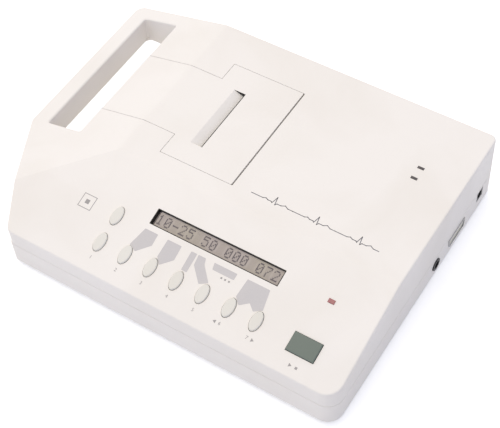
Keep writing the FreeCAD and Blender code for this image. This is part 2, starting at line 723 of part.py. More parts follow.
def handle_base():
    """Lower shell of the carry handle, screwed on from below."""
    top = PARTING_HEIGHT
    block = column(OUTLINE, HANDLE_BOTTOM, top)
    keep_x = SLOT_RIGHT_X - SEAT_CLEARANCE
    far_y = CASE_DEPTH + CUT_OVERSHOOT
    block = block.common(solid_box(-2 * HANDLE_REACH, keep_x, -CUT_OVERSHOOT, far_y, 0, DECK_HEIGHT))
    block = block.cut(column(slot_corners(0.0, SLOT_LOW_CORNER_RADIUS), 0, DECK_HEIGHT))
    low = []
    for edge in block.Edges:
        box = edge.BoundBox
        flat = box.ZMax < HANDLE_BOTTOM + HOLE_CLEARANCE
        if flat and not (box.XMin > keep_x - SEAT_CLEARANCE):
            low.append(edge)
    block = block.makeFillet(HANDLE_ROUND, low)
    for x, y in HANDLE_BOSSES:
        block = block.cut(rod_z(x, y, 0, DECK_HEIGHT, SCREW_RADIUS + HOLE_CLEARANCE))
        seat = HANDLE_BOTTOM + SCREW_HEAD_HEIGHT
        block = block.cut(rod_z(x, y, 0, seat, SCREW_HEAD_RADIUS + HOLE_CLEARANCE))
    return block


def printer_lid(skin):
    """Flush T-shaped lid with a paper slot and a ramp beside it."""
    plate = skin.common(column(lid_corners(LID_GAP), 0, DECK_HEIGHT + WALL))
    plate = plate.cut(under_top(LID_THICKNESS))
    y0 = SLOT_MIDDLE_Y - SLOT_LENGTH / 2
    y1 = SLOT_MIDDLE_Y + SLOT_LENGTH / 2
    right = SLOT_X + SLOT_WIDTH / 2
    left = SLOT_X - SLOT_WIDTH / 2
    block_low = DECK_HEIGHT - RAMP_DEPTH - LID_THICKNESS
    block_high = DECK_HEIGHT - WALL / 2
    housing = solid_box(left - RAMP_RUN - WALL, right + WALL, y0 - WALL, y1 + WALL, block_low, block_high)
    plate = plate.fuse(housing)
    profile = [
        Vector(left - RAMP_RUN, y0, DECK_HEIGHT),
        Vector(left, y0, DECK_HEIGHT - RAMP_DEPTH),
        Vector(left, y0, DECK_HEIGHT + WALL),
        Vector(left - RAMP_RUN, y0, DECK_HEIGHT + WALL),
    ]
    ramp = Part.Face(Part.makePolygon(profile + [profile[0]])).extrude(Vector(0, y1 - y0, 0))
    plate = plate.cut(ramp)
    plate = plate.cut(solid_box(left, right, y0, y1, 0, DECK_HEIGHT + WALL))
    return plate.removeSplitter()


def hinge_rows():
    """Y of the middles of the two lid hinges."""
    return (LID_FRONT_Y + HINGE_INSET, LID_BACK_Y - HINGE_INSET)


def lid_hinge_arms():
    """Goose-neck arms under the lid that swing round the edge of the deck."""
    arms = []
    t = HINGE_ARM_THICKNESS
    under = DECK_HEIGHT - LID_THICKNESS
    neck_x = LID_RIGHT_X - LID_HINGE_GAP - 2 * t
    for y in hinge_rows():
        y0 = y - HINGE_ARM_WIDTH / 2
        y1 = y + HINGE_ARM_WIDTH / 2
        low = HINGE_Z - HINGE_DIP
        arm = solid_box(neck_x - t, neck_x, y0, y1, low - t / 2, under)
        arm = arm.fuse(solid_box(neck_x - t, HINGE_X + t / 2, y0, y1, low - t / 2, low + t / 2))
        arm = arm.fuse(solid_box(HINGE_X - t / 2, HINGE_X + t / 2, y0, y1, low, HINGE_Z))
        arm = arm.fuse(rod_y(HINGE_X, HINGE_Z, y0, y1, HINGE_PIN_RADIUS + t / 2))
        arm = arm.cut(rod_y(HINGE_X, HINGE_Z, y0 - t, y1 + t, HINGE_PIN_RADIUS + RUNNING_CLEARANCE))
        arms.append(arm.removeSplitter())
    return Part.makeCompound(arms)


def lid_hinge_blocks():
    """Two pins, each held by a pair of ears under the deck."""
    blocks = []
    for y in hinge_rows():
        half = HINGE_ARM_WIDTH / 2 + SEAT_CLEARANCE
        ear = HINGE_ARM_WIDTH / 2
        block = rod_y(HINGE_X, HINGE_Z, y - half - ear, y + half + ear, HINGE_PIN_RADIUS)
        for y0 in (y - half - ear, y + half):
            wide = 2 * HINGE_PIN_RADIUS
            block = block.fuse(solid_box(HINGE_X - wide / 2, HINGE_X + 2 * wide, y0, y0 + ear,
                                         HINGE_Z - wide, DECK_HEIGHT - WALL))
        blocks.append(block.removeSplitter())
    return Part.makeCompound(blocks)


def printer_frame():
    """Folded frame: floor plate, two side plates and the spring bar."""
    seat = FRAME_SEAT
    frame = solid_box(FRAME_LEFT_X, FRAME_RIGHT_X, FRAME_FRONT_Y, FRAME_BACK_Y, seat, seat + FRAME_PLATE)
    for y0 in (FRAME_FRONT_Y, FRAME_BACK_Y - FRAME_PLATE):
        frame = frame.fuse(solid_box(FRAME_LEFT_X, FRAME_RIGHT_X, y0, y0 + FRAME_PLATE, seat, FRAME_HEIGHT))
    bar_x = SPRING_BAR_X + FRAME_PLATE
    bar = solid_box(SPRING_BAR_X, bar_x, FRAME_FRONT_Y, FRAME_BACK_Y, BRACKET_BOTTOM, BRACKET_TOP)
    frame = frame.fuse(bar)
    y0 = FRAME_FRONT_Y - CUT_OVERSHOOT
    y1 = FRAME_BACK_Y + CUT_OVERSHOOT
    frame = frame.cut(rod_y(PLATEN_X, PLATEN_HEIGHT, y0, y1, BUSH_RADIUS))
    frame = frame.cut(rod_y(HEAD_PIVOT_X, HEAD_PIVOT_HEIGHT, y0, y1, HEAD_PIN_RADIUS))
    idler_x, idler_z = idler_place()
    frame = frame.cut(rod_y(idler_x, idler_z, SLOT_MIDDLE_Y, y1, IDLER_PIN_RADIUS))
    frame = frame.cut(rod_y(MOTOR_X, MOTOR_HEIGHT, SLOT_MIDDLE_Y, y1, 3 * MOTOR_SHAFT_RADIUS))
    for x, y in frame_holes():
        frame = frame.cut(rod_z(x, y, 0, seat + 2 * FRAME_PLATE, SCREW_RADIUS + HOLE_CLEARANCE))
    return frame.removeSplitter()


def pitch_radius(teeth):
    """Radius of a gear's pitch circle."""
    return GEAR_MODULE * teeth / 2


def idler_place():
    """Middle of the idler, in mesh with the platen gear and the motor pinion."""
    a = pitch_radius(PLATEN_TEETH) + pitch_radius(IDLER_TEETH)
    b = pitch_radius(PINION_TEETH) + pitch_radius(IDLER_TEETH)
    dx = MOTOR_X - PLATEN_X
    dz = MOTOR_HEIGHT - PLATEN_HEIGHT
    d = math.hypot(dx, dz)
    along = (a * a - b * b + d * d) / (2 * d)
    aside = math.sqrt(a * a - along * along)
    return PLATEN_X + (dx * along - dz * aside) / d, PLATEN_HEIGHT + (dz * along + dx * aside) / d


def gear(x, z, y0, teeth, turn, bore):
    """Spur gear along Y with involute teeth, one tooth pointing at the angle turn from X towards Z."""
    pitch = pitch_radius(teeth)
    base = pitch * math.cos(math.radians(PRESSURE_ANGLE))
    tip = pitch + ADDENDUM * GEAR_MODULE
    root = pitch - DEDENDUM * GEAR_MODULE

    def unwound(radius):
        if radius <= base:
            return 0.0
        a = math.acos(base / radius)
        return math.tan(a) - a

    half_tooth = (math.pi * GEAR_MODULE / 2 - BACKLASH) / (2 * pitch) + unwound(pitch)
    points = []
    for i in range(teeth):
        middle = turn + 2 * math.pi * i / teeth
        low = max(base, root)
        radii = [low + (tip - low) * k / FLANK_STEPS for k in range(FLANK_STEPS + 1)]
        flank = [(r, half_tooth - unwound(r)) for r in radii]
        if root < base:
            flank = [(root, half_tooth)] + flank
        for r, a in flank:
            points.append((r, middle - a))
        for r, a in reversed(flank):
            points.append((r, middle + a))
    ring = points + points[:1]
    wire = Part.makePolygon([Vector(x + r * math.cos(a), y0, z + r * math.sin(a)) for r, a in ring])
    body = Part.Face(wire).extrude(Vector(0, GEAR_WIDTH, 0))
    if bore > 0:
        body = body.cut(rod_y(x, z, y0 - CUT_OVERSHOOT, y0 + GEAR_WIDTH + CUT_OVERSHOOT, bore))
    return body


def meshing_turn(turn, teeth, line, other):
    """Turn of a gear that meshes with a neighbour which lies along the angle line."""
    share = (line - turn) * teeth / (2 * math.pi) - 0.5
    return line + math.pi + share * 2 * math.pi / other


def gear_places():
    """Turn of each gear at rest, so that all are in mesh."""
    ix, iz = idler_place()
    first = math.atan2(iz - PLATEN_HEIGHT, ix - PLATEN_X)
    second = math.atan2(MOTOR_HEIGHT - iz, MOTOR_X - ix)
    idler = meshing_turn(0.0, PLATEN_TEETH, first, IDLER_TEETH)
    pinion = meshing_turn(idler, IDLER_TEETH, second, PINION_TEETH)
    return idler, pinion


def printer_pieces():
    """Platen, gears, motor, head and their small parts."""
    pieces = {}
    gear_y = FRAME_BACK_Y + GEAR_GAP
    idler_turn, pinion_turn = gear_places()
    ix, iz = idler_place()
    shaft_end = gear_y + GEAR_WIDTH
    shaft_start = FRAME_FRONT_Y - FRAME_PLATE
    pieces["platen_shaft"] = rod_y(PLATEN_X, PLATEN_HEIGHT, shaft_start, shaft_end, PLATEN_SHAFT_RADIUS)
    half = PLATEN_LENGTH / 2
    rubber = rod_y(PLATEN_X, PLATEN_HEIGHT, SLOT_MIDDLE_Y - half, SLOT_MIDDLE_Y + half, PLATEN_RADIUS)
    pieces["platen_rubber"] = rubber.cut(pieces["platen_shaft"])
    bushes = []
    for y0 in (FRAME_FRONT_Y, FRAME_BACK_Y - FRAME_PLATE):
        bush = rod_y(PLATEN_X, PLATEN_HEIGHT, y0, y0 + FRAME_PLATE, BUSH_RADIUS)
        bore = PLATEN_SHAFT_RADIUS + RUNNING_CLEARANCE
        ends = (y0 - CUT_OVERSHOOT, y0 + FRAME_PLATE + CUT_OVERSHOOT)
        bushes.append(bush.cut(rod_y(PLATEN_X, PLATEN_HEIGHT, ends[0], ends[1], bore)))
    pieces["platen_bushes"] = Part.makeCompound(bushes)
    pieces["platen_gear"] = gear(PLATEN_X, PLATEN_HEIGHT, gear_y, PLATEN_TEETH, 0.0, PLATEN_SHAFT_RADIUS)
    bore = IDLER_PIN_RADIUS + RUNNING_CLEARANCE
    pieces["idler_gear"] = gear(ix, iz, gear_y, IDLER_TEETH, idler_turn, bore)
    pin = rod_y(ix, iz, FRAME_BACK_Y - FRAME_PLATE, gear_y + GEAR_WIDTH + GEAR_GAP, IDLER_PIN_RADIUS)
    head_y = gear_y + GEAR_WIDTH + SEAT_CLEARANCE
    pin = pin.fuse(rod_y(ix, iz, head_y, head_y + GEAR_GAP, 2 * IDLER_PIN_RADIUS))
    pieces["idler_pin"] = pin.removeSplitter()
    motor_back = FRAME_BACK_Y - FRAME_PLATE
    motor = rod_y(MOTOR_X, MOTOR_HEIGHT, motor_back - MOTOR_LENGTH, motor_back, MOTOR_RADIUS)
    bore = MOTOR_SHAFT_RADIUS + RUNNING_CLEARANCE
    bore_end = motor_back - MOTOR_LENGTH / 2
    motor = motor.cut(rod_y(MOTOR_X, MOTOR_HEIGHT, bore_end, motor_back + CUT_OVERSHOOT, bore))
    pieces["feed_motor"] = motor
    pinion = gear(MOTOR_X, MOTOR_HEIGHT, gear_y, PINION_TEETH, pinion_turn, 0.0)
    inner_end = bore_end + SEAT_CLEARANCE
    pinion = pinion.fuse(rod_y(MOTOR_X, MOTOR_HEIGHT, inner_end, gear_y + GEAR_WIDTH, MOTOR_SHAFT_RADIUS))
    pieces["motor_pinion"] = pinion.removeSplitter()
    half = PAPER_WIDTH / 2
    z0 = PLATEN_HEIGHT - HEAD_HEIGHT / 2
    y0 = SLOT_MIDDLE_Y - half
    y1 = SLOT_MIDDLE_Y + half
    pieces["print_head"] = solid_box(HEAD_X, BRACKET_X, y0, y1, z0, z0 + HEAD_HEIGHT)
    back = BRACKET_X + BRACKET_THICKNESS
    bracket = solid_box(BRACKET_X, back, y0, y1, BRACKET_BOTTOM, BRACKET_TOP)
    for y0 in (SLOT_MIDDLE_Y - half, SLOT_MIDDLE_Y + half - BRACKET_THICKNESS):
        y1 = y0 + BRACKET_THICKNESS
        bracket = bracket.fuse(solid_box(BRACKET_X, back, y0, y1, HEAD_PIVOT_HEIGHT, BRACKET_BOTTOM))
        bracket = bracket.fuse(rod_y(HEAD_PIVOT_X, HEAD_PIVOT_HEIGHT, y0, y1, 2 * HEAD_PIN_RADIUS))
    bore = HEAD_PIN_RADIUS + RUNNING_CLEARANCE
    hole = rod_y(HEAD_PIVOT_X, HEAD_PIVOT_HEIGHT, FRAME_FRONT_Y, FRAME_BACK_Y, bore)
    pieces["head_bracket"] = bracket.cut(hole).removeSplitter()
    pieces["head_pin"] = rod_y(HEAD_PIVOT_X, HEAD_PIVOT_HEIGHT, FRAME_FRONT_Y, FRAME_BACK_Y, HEAD_PIN_RADIUS)
    springs = []
    for side in (-0.5, 0.5):
        springs.append(coil_spring(SLOT_MIDDLE_Y + side * SPRING_SPACING))
    pieces["head_springs"] = Part.makeCompound(springs)
    return pieces


def coil_spring(y):
    """Compression spring along X between the head bracket and the spring bar."""
    free = SPRING_LENGTH - 2 * SPRING_SEAT_GAP - 2 * SPRING_WIRE
    helix = Part.makeHelix(SPRING_PITCH, free, SPRING_RADIUS)
    circle = Part.makeCircle(SPRING_WIRE, Vector(SPRING_RADIUS, 0, 0), Vector(0, 1, 0))
    coil = Part.Wire(helix.Edges).makePipeShell([Part.Wire([circle])], True, True)
    height = (BRACKET_BOTTOM + BRACKET_TOP) / 2
    start = BRACKET_X + BRACKET_THICKNESS + SPRING_SEAT_GAP + SPRING_WIRE
    coil.Placement = Placement(Vector(start, y, height), Rotation(Vector(0, 1, 0), 90))
    return coil


def paper_pieces():
    """Tray, spindle, core, roll and the strip that runs to the platen."""
    pieces = {}
    half = TRAY_INSIDE / 2
    front = SLOT_MIDDLE_Y - half - TRAY_WALL
    back = SLOT_MIDDLE_Y + half + TRAY_WALL
    tray = solid_box(TRAY_LEFT_X, TRAY_RIGHT_X, front, back, WALL, WALL + TRAY_WALL)
    for y0 in (front, back - TRAY_WALL):
        tray = tray.fuse(solid_box(TRAY_LEFT_X, TRAY_RIGHT_X, y0, y0 + TRAY_WALL, WALL, TRAY_HEIGHT))
    tray = tray.fuse(solid_box(TRAY_LEFT_X, TRAY_LEFT_X + TRAY_WALL, front, back, WALL, TRAY_HEIGHT))
    start = front - CUT_OVERSHOOT
    stop = back + CUT_OVERSHOOT
    reach = SPINDLE_RADIUS + CORE_CLEARANCE
    notch = rod_y(ROLL_X, ROLL_HEIGHT, start, stop, reach)
    top = TRAY_HEIGHT + CUT_OVERSHOOT
    notch = notch.fuse(solid_box(ROLL_X - reach, ROLL_X + reach, start, stop, ROLL_HEIGHT, top))
    pieces["paper_tray"] = tray.cut(notch).removeSplitter()
    pieces["paper_spindle"] = rod_y(ROLL_X, ROLL_HEIGHT, front, back, SPINDLE_RADIUS)
    y0 = SLOT_MIDDLE_Y - PAPER_WIDTH / 2
    y1 = SLOT_MIDDLE_Y + PAPER_WIDTH / 2
    core = rod_y(ROLL_X, ROLL_HEIGHT, y0, y1, CORE_RADIUS)
    bore = SPINDLE_RADIUS + CORE_CLEARANCE
    hole = rod_y(ROLL_X, ROLL_HEIGHT, y0 - CUT_OVERSHOOT, y1 + CUT_OVERSHOOT, bore)
    pieces["paper_core"] = core.cut(hole)
    pieces["paper_roll"] = rod_y(ROLL_X, ROLL_HEIGHT, y0, y1, ROLL_RADIUS).cut(core)
    dx = PLATEN_X - ROLL_X
    dz = PLATEN_HEIGHT - ROLL_HEIGHT
    angle = math.atan2(dz, dx) + math.asin((ROLL_RADIUS - PLATEN_RADIUS) / math.hypot(dx, dz))
    down = Vector(math.sin(angle), 0, -math.cos(angle))
    a = Vector(ROLL_X, y0, ROLL_HEIGHT) + down * (ROLL_RADIUS + STRIP_GAP)
    b = Vector(PLATEN_X, y0, PLATEN_HEIGHT) + down * (PLATEN_RADIUS + STRIP_GAP)
    thick = down * STRIP_THICKNESS
    face = Part.Face(Part.makePolygon([a, b, b + thick, a + thick, a]))
    pieces["paper_strip"] = face.extrude(Vector(0, y1 - y0, 0))
    return pieces


def panel_pieces():
    """Keys, display and lights of the front panel and the deck."""
    pieces = {}
    under = UNDER_PANEL - SEAT_CLEARANCE / 4
    flange_low = under - KEY_FLANGE
    stem_low = flange_low - KEY_FLANGE
    for number, (x, row) in enumerate(key_places(), 1):
        cap = oval(x, row, 0.0, flange_low, KEY_PROUD)
        crown = [e for e in cap.Edges if e.BoundBox.ZMin > KEY_PROUD - HOLE_CLEARANCE]
        cap = cap.makeFillet(KEY_ROUND, crown)
        cap = cap.fuse(oval(x, row, KEY_GAP + KEY_SKIRT, flange_low, under))
        cap = cap.fuse(rod_z(x, row, stem_low, under, KEY_STEM_RADIUS))
        pieces["key_%d" % number] = on_panel(cap.removeSplitter())
    cap = start_block(0.0, flange_low, KEY_PROUD)
    crown = [e for e in cap.Edges if e.BoundBox.ZMin > KEY_PROUD - HOLE_CLEARANCE]
    cap = cap.makeFillet(KEY_ROUND, crown)
    cap = cap.fuse(start_block(KEY_GAP + KEY_SKIRT, flange_low, under))
    cap = cap.fuse(rod_z(START_X, START_ROW, stem_low, under, KEY_STEM_RADIUS))
    pieces["start_key"] = on_panel(cap.removeSplitter())
    switch_top = stem_low - KEY_TRAVEL - SWITCH_GAP
    board_top = switch_top - SWITCH_HEIGHT
    switches = []
    half = SWITCH_SIZE / 2
    for x, row in key_places() + [(START_X, START_ROW)]:
        body = solid_box(x - half, x + half, row - half, row + half, board_top, switch_top - SWITCH_PLUNGER)
        body = body.fuse(rod_z(x, row, board_top, switch_top, KEY_STEM_RADIUS))
        switches.append(on_panel(body.removeSplitter()))
    pieces["key_switches"] = Part.makeCompound(switches)
    left = KEY_FIRST_X - KEY_LENGTH
    right = START_X + START_WIDTH / 2
    low_row = KEY_ROW - KEY_LENGTH / 2
    board_low = board_top - BOARD_THICKNESS
    board = solid_box(left, right, low_row, KEY_ROW + KEY_LENGTH / 2, board_low, board_top)
    wing_right = KEY_FIRST_X + KEY_LENGTH
    wing = solid_box(left, wing_right, low_row, KEY_UPPER_ROW + SWITCH_SIZE, board_low, board_top)
    board = board.fuse(wing).removeSplitter()
    for x in key_board_posts():
        board = board.fuse(rod_z(x, KEY_ROW, board_top, UNDER_PANEL, BOSS_RADIUS / 2))
    pieces["key_board"] = on_panel(board)
    lip = display_block(-HOLE_CLEARANCE, UNDER_PANEL - DISPLAY_DEPTH + WALL, 0.0)
    flange = display_block(BEZEL_FLANGE, UNDER_PANEL - DISPLAY_DEPTH + WALL, UNDER_PANEL)
    bezel = lip.fuse(flange).cut(display_block(-BEZEL_LIP, 4 * UNDER_PANEL, WALL))
    pieces["display_bezel"] = on_panel(bezel.removeSplitter())
    glass_top = -DISPLAY_DEPTH
    glass_low = glass_top - GLASS_THICKNESS
    glass = display_block(GLASS_EDGE, glass_low, glass_top)
    raised = display_block(-BEZEL_LIP - HOLE_CLEARANCE, glass_low, -GLASS_SINK)
    dark_end_x = DISPLAY_LEFT_X + BEZEL_LIP + GLASS_DARK_END
    raised = raised.cut(solid_box(0, dark_end_x, 0, CASE_DEPTH, 4 * UNDER_PANEL, WALL))
    pieces["display_glass"] = on_panel(glass.fuse(raised).removeSplitter())
    x0 = DISPLAY_LEFT_X + DISPLAY_WIDTH / 2 - DISPLAY_BOARD_WIDTH / 2
    y0 = DISPLAY_FRONT + DISPLAY_HEIGHT / 2 - DISPLAY_BOARD_HEIGHT / 2
    pieces["display_board"] = on_panel(solid_box(
        x0, x0 + DISPLAY_BOARD_WIDTH, y0, y0 + DISPLAY_BOARD_HEIGHT, glass_low - BOARD_THICKNESS, glass_low))
    light = overload_block(-HOLE_CLEARANCE, -LED_DEPTH, LED_PROUD)
    light = light.fuse(overload_block(LED_FLANGE, -LED_DEPTH, UNDER_PANEL)).removeSplitter()
    pieces["overload_led"] = on_panel(light)
    bodies = status_blocks(-HOLE_CLEARANCE, DECK_HEIGHT - LED_DEPTH, DECK_HEIGHT + LED_PROUD)
    flanges = status_blocks(LED_FLANGE, DECK_HEIGHT - LED_DEPTH, DECK_HEIGHT - WALL)
    lights = [a.fuse(b).removeSplitter() for a, b in zip(bodies, flanges)]
    pieces["status_leds"] = Part.makeCompound(lights)
    return pieces


def key_board_posts():
    """X of the posts that hang the key board from the panel, between keys."""
    return [KEY_FIRST_X + share * KEY_PITCH for share in KEY_BOARD_POSTS]


def socket_pieces():
    """Power inlet, patient socket and output jack in the right wall."""
    pieces = {}
    inner = CASE_WIDTH - SOCKET_DEPTH
    face = CASE_WIDTH - SEAT_CLEARANCE
    half = INLET_SIZE / 2
    inlet = solid_box(inner, face, INLET_Y - half, INLET_Y + half, INLET_HEIGHT - half, INLET_HEIGHT + half)
    beyond = CASE_WIDTH + CUT_OVERSHOOT
    inlet = inlet.cut(rod_x(INLET_Y, INLET_HEIGHT, inner + WALL, beyond, INLET_BORE_RADIUS))
    pin = rod_x(INLET_Y, INLET_HEIGHT, inner, CASE_WIDTH - WALL, INLET_PIN_RADIUS)
    pieces["power_inlet"] = inlet.fuse(pin).removeSplitter()
    outer = CASE_WIDTH + SOCKET_PROUD
    shell = d_shell(PATIENT_Y, PATIENT_HEIGHT, inner, outer, PATIENT_LENGTH, PATIENT_WIDTH)
    length = PATIENT_LENGTH + 2 * PATIENT_FLANGE
    wide = PATIENT_WIDTH / 2 + PATIENT_PLATE_EDGE
    plate_x = CASE_WIDTH - WALL
    plate = solid_box(plate_x - PATIENT_PLATE, plate_x, PATIENT_Y - length / 2, PATIENT_Y + length / 2,
                      PATIENT_HEIGHT - wide, PATIENT_HEIGHT + wide)
    walls = 2 * PATIENT_SHELL_WALL
    room = d_shell(PATIENT_Y, PATIENT_HEIGHT, inner - CUT_OVERSHOOT, outer + CUT_OVERSHOOT,
                   PATIENT_LENGTH - walls, PATIENT_WIDTH - walls)
    pieces["patient_socket"] = shell.fuse(plate).cut(room).removeSplitter()
    walls += 2 * PATIENT_INSERT_GAP
    insert = d_shell(PATIENT_Y, PATIENT_HEIGHT, inner, CASE_WIDTH,
                     PATIENT_LENGTH - walls, PATIENT_WIDTH - walls)
    contact_end = CASE_WIDTH - 2 * WALL
    for count, rise in PATIENT_ROWS:
        for i in range(count):
            y = PATIENT_Y + (i - (count - 1) / 2) * PATIENT_CONTACT_PITCH
            hole = rod_x(y, PATIENT_HEIGHT + rise, contact_end, beyond, PATIENT_CONTACT_RADIUS)
            insert = insert.cut(hole)
    pieces["patient_socket_insert"] = insert
    jack = rod_x(JACK_Y, JACK_HEIGHT, inner, outer, JACK_RADIUS)
    bore = rod_x(JACK_Y, JACK_HEIGHT, inner + WALL, outer + CUT_OVERSHOOT, JACK_BORE_RADIUS)
    pieces["output_jack"] = jack.cut(bore)
    return pieces


def spot_on(board, shares):
    """Place on a board (left, front, width, depth) by shares of its width and depth."""
    left, front, width, depth = board
    return left + shares[0] * width, front + shares[1] * depth


def power_pieces():
    """Battery, its door and the two boards with their larger parts."""
    pieces = {}
    far_x, far_y = battery_corner()
    cells = []
    for i in range(CELL_ROWS):
        for j in range(2):
            y = BATTERY_Y + (2 * i + 1) * CELL_RADIUS
            x0 = BATTERY_X + j * CELL_LENGTH
            cells.append(rod_x(y, DOOR_THICKNESS + CELL_RADIUS + SEAT_CLEARANCE, x0 + SEAT_CLEARANCE,
                               x0 + CELL_LENGTH - SEAT_CLEARANCE, CELL_RADIUS - SEAT_CLEARANCE))
    pieces["battery_cells"] = Part.makeCompound(cells)
    door = door_block(0.0, 0.0, DOOR_THICKNESS)
    for ear in door_tabs(0.0, 0.0, DOOR_THICKNESS):
        door = door.fuse(ear)
    for x, y in door_screw_places():
        top = DOOR_THICKNESS + CUT_OVERSHOOT
        door = door.cut(rod_z(x, y, -CUT_OVERSHOOT, top, SCREW_RADIUS + HOLE_CLEARANCE))
    pieces["battery_door"] = door.removeSplitter()
    low = WALL + STANDOFF_HEIGHT
    high = low + BOARD_THICKNESS
    places = (
        ("main_board", MAIN_BOARD_LEFT_X, MAIN_BOARD_FRONT_Y, MAIN_BOARD_WIDTH, MAIN_BOARD_DEPTH),
        ("power_board", POWER_BOARD_LEFT_X, POWER_BOARD_FRONT_Y, POWER_BOARD_WIDTH, POWER_BOARD_DEPTH),
    )
    for name, x, y, width, depth in places:
        board = solid_box(x, x + width, y, y + depth, low, high)
        for hx, hy in board_holes(x, y, width, depth):
            ends = (low - CUT_OVERSHOOT, high + CUT_OVERSHOOT)
            board = board.cut(rod_z(hx, hy, ends[0], ends[1], SCREW_RADIUS + HOLE_CLEARANCE))
        pieces[name] = board
    main = places[0][1:]
    x, y = spot_on(main, PROCESSOR_SPOT)
    chips = [solid_box(x, x + PROCESSOR_SIDE, y, y + PROCESSOR_SIDE, high, high + PROCESSOR_HEIGHT)]
    x, y = spot_on(main, CHIP_SPOT)
    for i in range(4):
        y0 = y + i * CHIP_PITCH_SHARE * MAIN_BOARD_DEPTH
        chips.append(solid_box(x, x + CHIP_WIDTH, y0, y0 + CHIP_DEPTH, high, high + CHIP_HEIGHT))
    x, y = spot_on(main, CAN_SPOT)
    for i in range(3):
        y0 = y + i * CAN_PITCH_SHARE * MAIN_BOARD_DEPTH
        chips.append(rod_z(x, y0, high, high + CAN_HEIGHT, CAN_RADIUS))
    pieces["main_board_parts"] = Part.makeCompound(chips)
    power = places[1][1:]
    x, y = spot_on(power, CORE_SPOT)
    parts = [solid_box(x, x + CORE_WIDTH, y, y + CORE_DEPTH, high, high + CORE_HEIGHT)]
    x, y = spot_on(power, FILTER_SPOT)
    for i in range(2):
        y0 = y + i * FILTER_PITCH_SHARE * POWER_BOARD_DEPTH
        parts.append(rod_z(x, y0, high, high + FILTER_HEIGHT, FILTER_RADIUS))
    x, y = spot_on(power, SINK_SPOT)
    parts.append(solid_box(x, x + SINK_WIDTH, y, y + SINK_DEPTH, high, high + SINK_HEIGHT))
    pieces["power_board_parts"] = Part.makeCompound(parts)
    return pieces


def screw(x, y, seat, length, up):
    """Pan head screw with its head on the plane at seat; up is 1 if the shank rises, else -1."""
    ends = sorted((seat, seat + up * length))
    shank = rod_z(x, y, ends[0], ends[1], SCREW_RADIUS)
    ends = sorted((seat, seat - up * SCREW_HEAD_HEIGHT))
    return shank.fuse(rod_z(x, y, ends[0], ends[1], SCREW_HEAD_RADIUS)).removeSplitter()


def hardware_pieces():
    """Feet and the groups of screws."""
    pieces = {}
    feet = []
    for x, y in foot_places():
        foot = rod_z(x, y, -FOOT_PROUD, FOOT_RECESS, FOOT_RADIUS)
        low = [e for e in foot.Edges if e.BoundBox.ZMax < -FOOT_PROUD + HOLE_CLEARANCE]
        feet.append(foot.makeFillet(FOOT_RECESS, low))
    pieces["feet"] = Part.makeCompound(feet)
    seat = PARTING_HEIGHT - SCREW_GRIP / 2
    length = SCREW_GRIP + WALL
    pieces["case_screws"] = Part.makeCompound([screw(x, y, seat, length, 1) for x, y in CASE_BOSSES])
    seat = HANDLE_BOTTOM + SCREW_HEAD_HEIGHT
    pieces["handle_screws"] = Part.makeCompound([screw(x, y, seat, SCREW_GRIP, 1) for x, y in HANDLE_BOSSES])
    seat = WALL + STANDOFF_HEIGHT + BOARD_THICKNESS
    length = BOARD_THICKNESS + STANDOFF_HEIGHT
    pieces["board_screws"] = Part.makeCompound([screw(x, y, seat, length, -1) for x, y in all_board_holes()])
    seat = FRAME_SEAT + FRAME_PLATE
    length = FRAME_PLATE + FRAME_SEAT / 2
    pieces["printer_screws"] = Part.makeCompound([screw(x, y, seat, length, -1) for x, y in frame_holes()])
    places = door_screw_places()
    pieces["door_screws"] = Part.makeCompound([screw(x, y, 0.0, SCREW_GRIP, 1) for x, y in places])
    return pieces


def main():
    """Make every piece and write it, one file each."""
    skin = casing_skin()
    pieces = {
        "bottom_case": bottom_case(),
        "top_cover": top_cover(skin),
        "handle_base": handle_base(),
        "printer_lid": printer_lid(skin),
        "lid_hinge_arms": lid_hinge_arms(),
        "lid_hinge_blocks": lid_hinge_blocks(),
        "printer_frame": printer_frame(),
    }
    for group in (printer_pieces, paper_pieces, panel_pieces, socket_pieces, power_pieces, hardware_pieces):
        pieces.update(group())
    os.makedirs("parts", exist_ok=True)
    for name, shape in pieces.items():
        moved = shape.copy()
        moved.translate(ORIGIN)
        moved.exportStep("parts/%s.step" % name)
        print(name, len(moved.Solids), moved.isValid(), round(moved.Volume, 1))


main()
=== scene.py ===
"""Looks of the portable ECG recorder: finishes, panel prints, display, fasteners, studio and camera."""

import logging
import math
from collections.abc import Iterable, Sequence
from dataclasses import dataclass, field
from enum import Enum

import bmesh
import bpy
from bpy.types import ID, Material, Mesh, Node, NodeOutputs, NodeSocket, NodeTree, Object
from mathutils import Matrix, Vector


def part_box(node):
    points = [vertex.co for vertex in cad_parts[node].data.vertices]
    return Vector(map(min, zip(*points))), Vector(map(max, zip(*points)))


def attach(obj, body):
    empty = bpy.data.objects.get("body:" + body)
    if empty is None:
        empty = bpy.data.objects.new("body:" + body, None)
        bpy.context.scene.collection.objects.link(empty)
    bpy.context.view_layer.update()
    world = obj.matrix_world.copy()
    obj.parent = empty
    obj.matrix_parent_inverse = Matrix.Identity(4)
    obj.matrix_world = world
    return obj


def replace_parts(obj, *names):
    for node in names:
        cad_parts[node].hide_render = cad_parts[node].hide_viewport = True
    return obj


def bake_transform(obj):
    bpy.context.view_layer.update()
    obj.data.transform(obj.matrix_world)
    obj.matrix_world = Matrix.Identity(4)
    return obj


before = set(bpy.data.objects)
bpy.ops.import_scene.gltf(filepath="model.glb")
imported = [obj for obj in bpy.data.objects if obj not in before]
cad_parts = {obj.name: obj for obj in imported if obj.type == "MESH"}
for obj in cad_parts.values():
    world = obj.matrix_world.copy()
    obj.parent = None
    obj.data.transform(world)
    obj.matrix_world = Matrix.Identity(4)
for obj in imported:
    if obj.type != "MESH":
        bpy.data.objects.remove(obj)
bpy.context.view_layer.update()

LOG = logging.getLogger("ecg_recorder")
MM = 0.001
Colour = tuple[float, float, float, float]
Outline = Sequence[tuple[float, float]]
Ends = tuple[float, float]
NUMBER = "NodeSocketFloat"
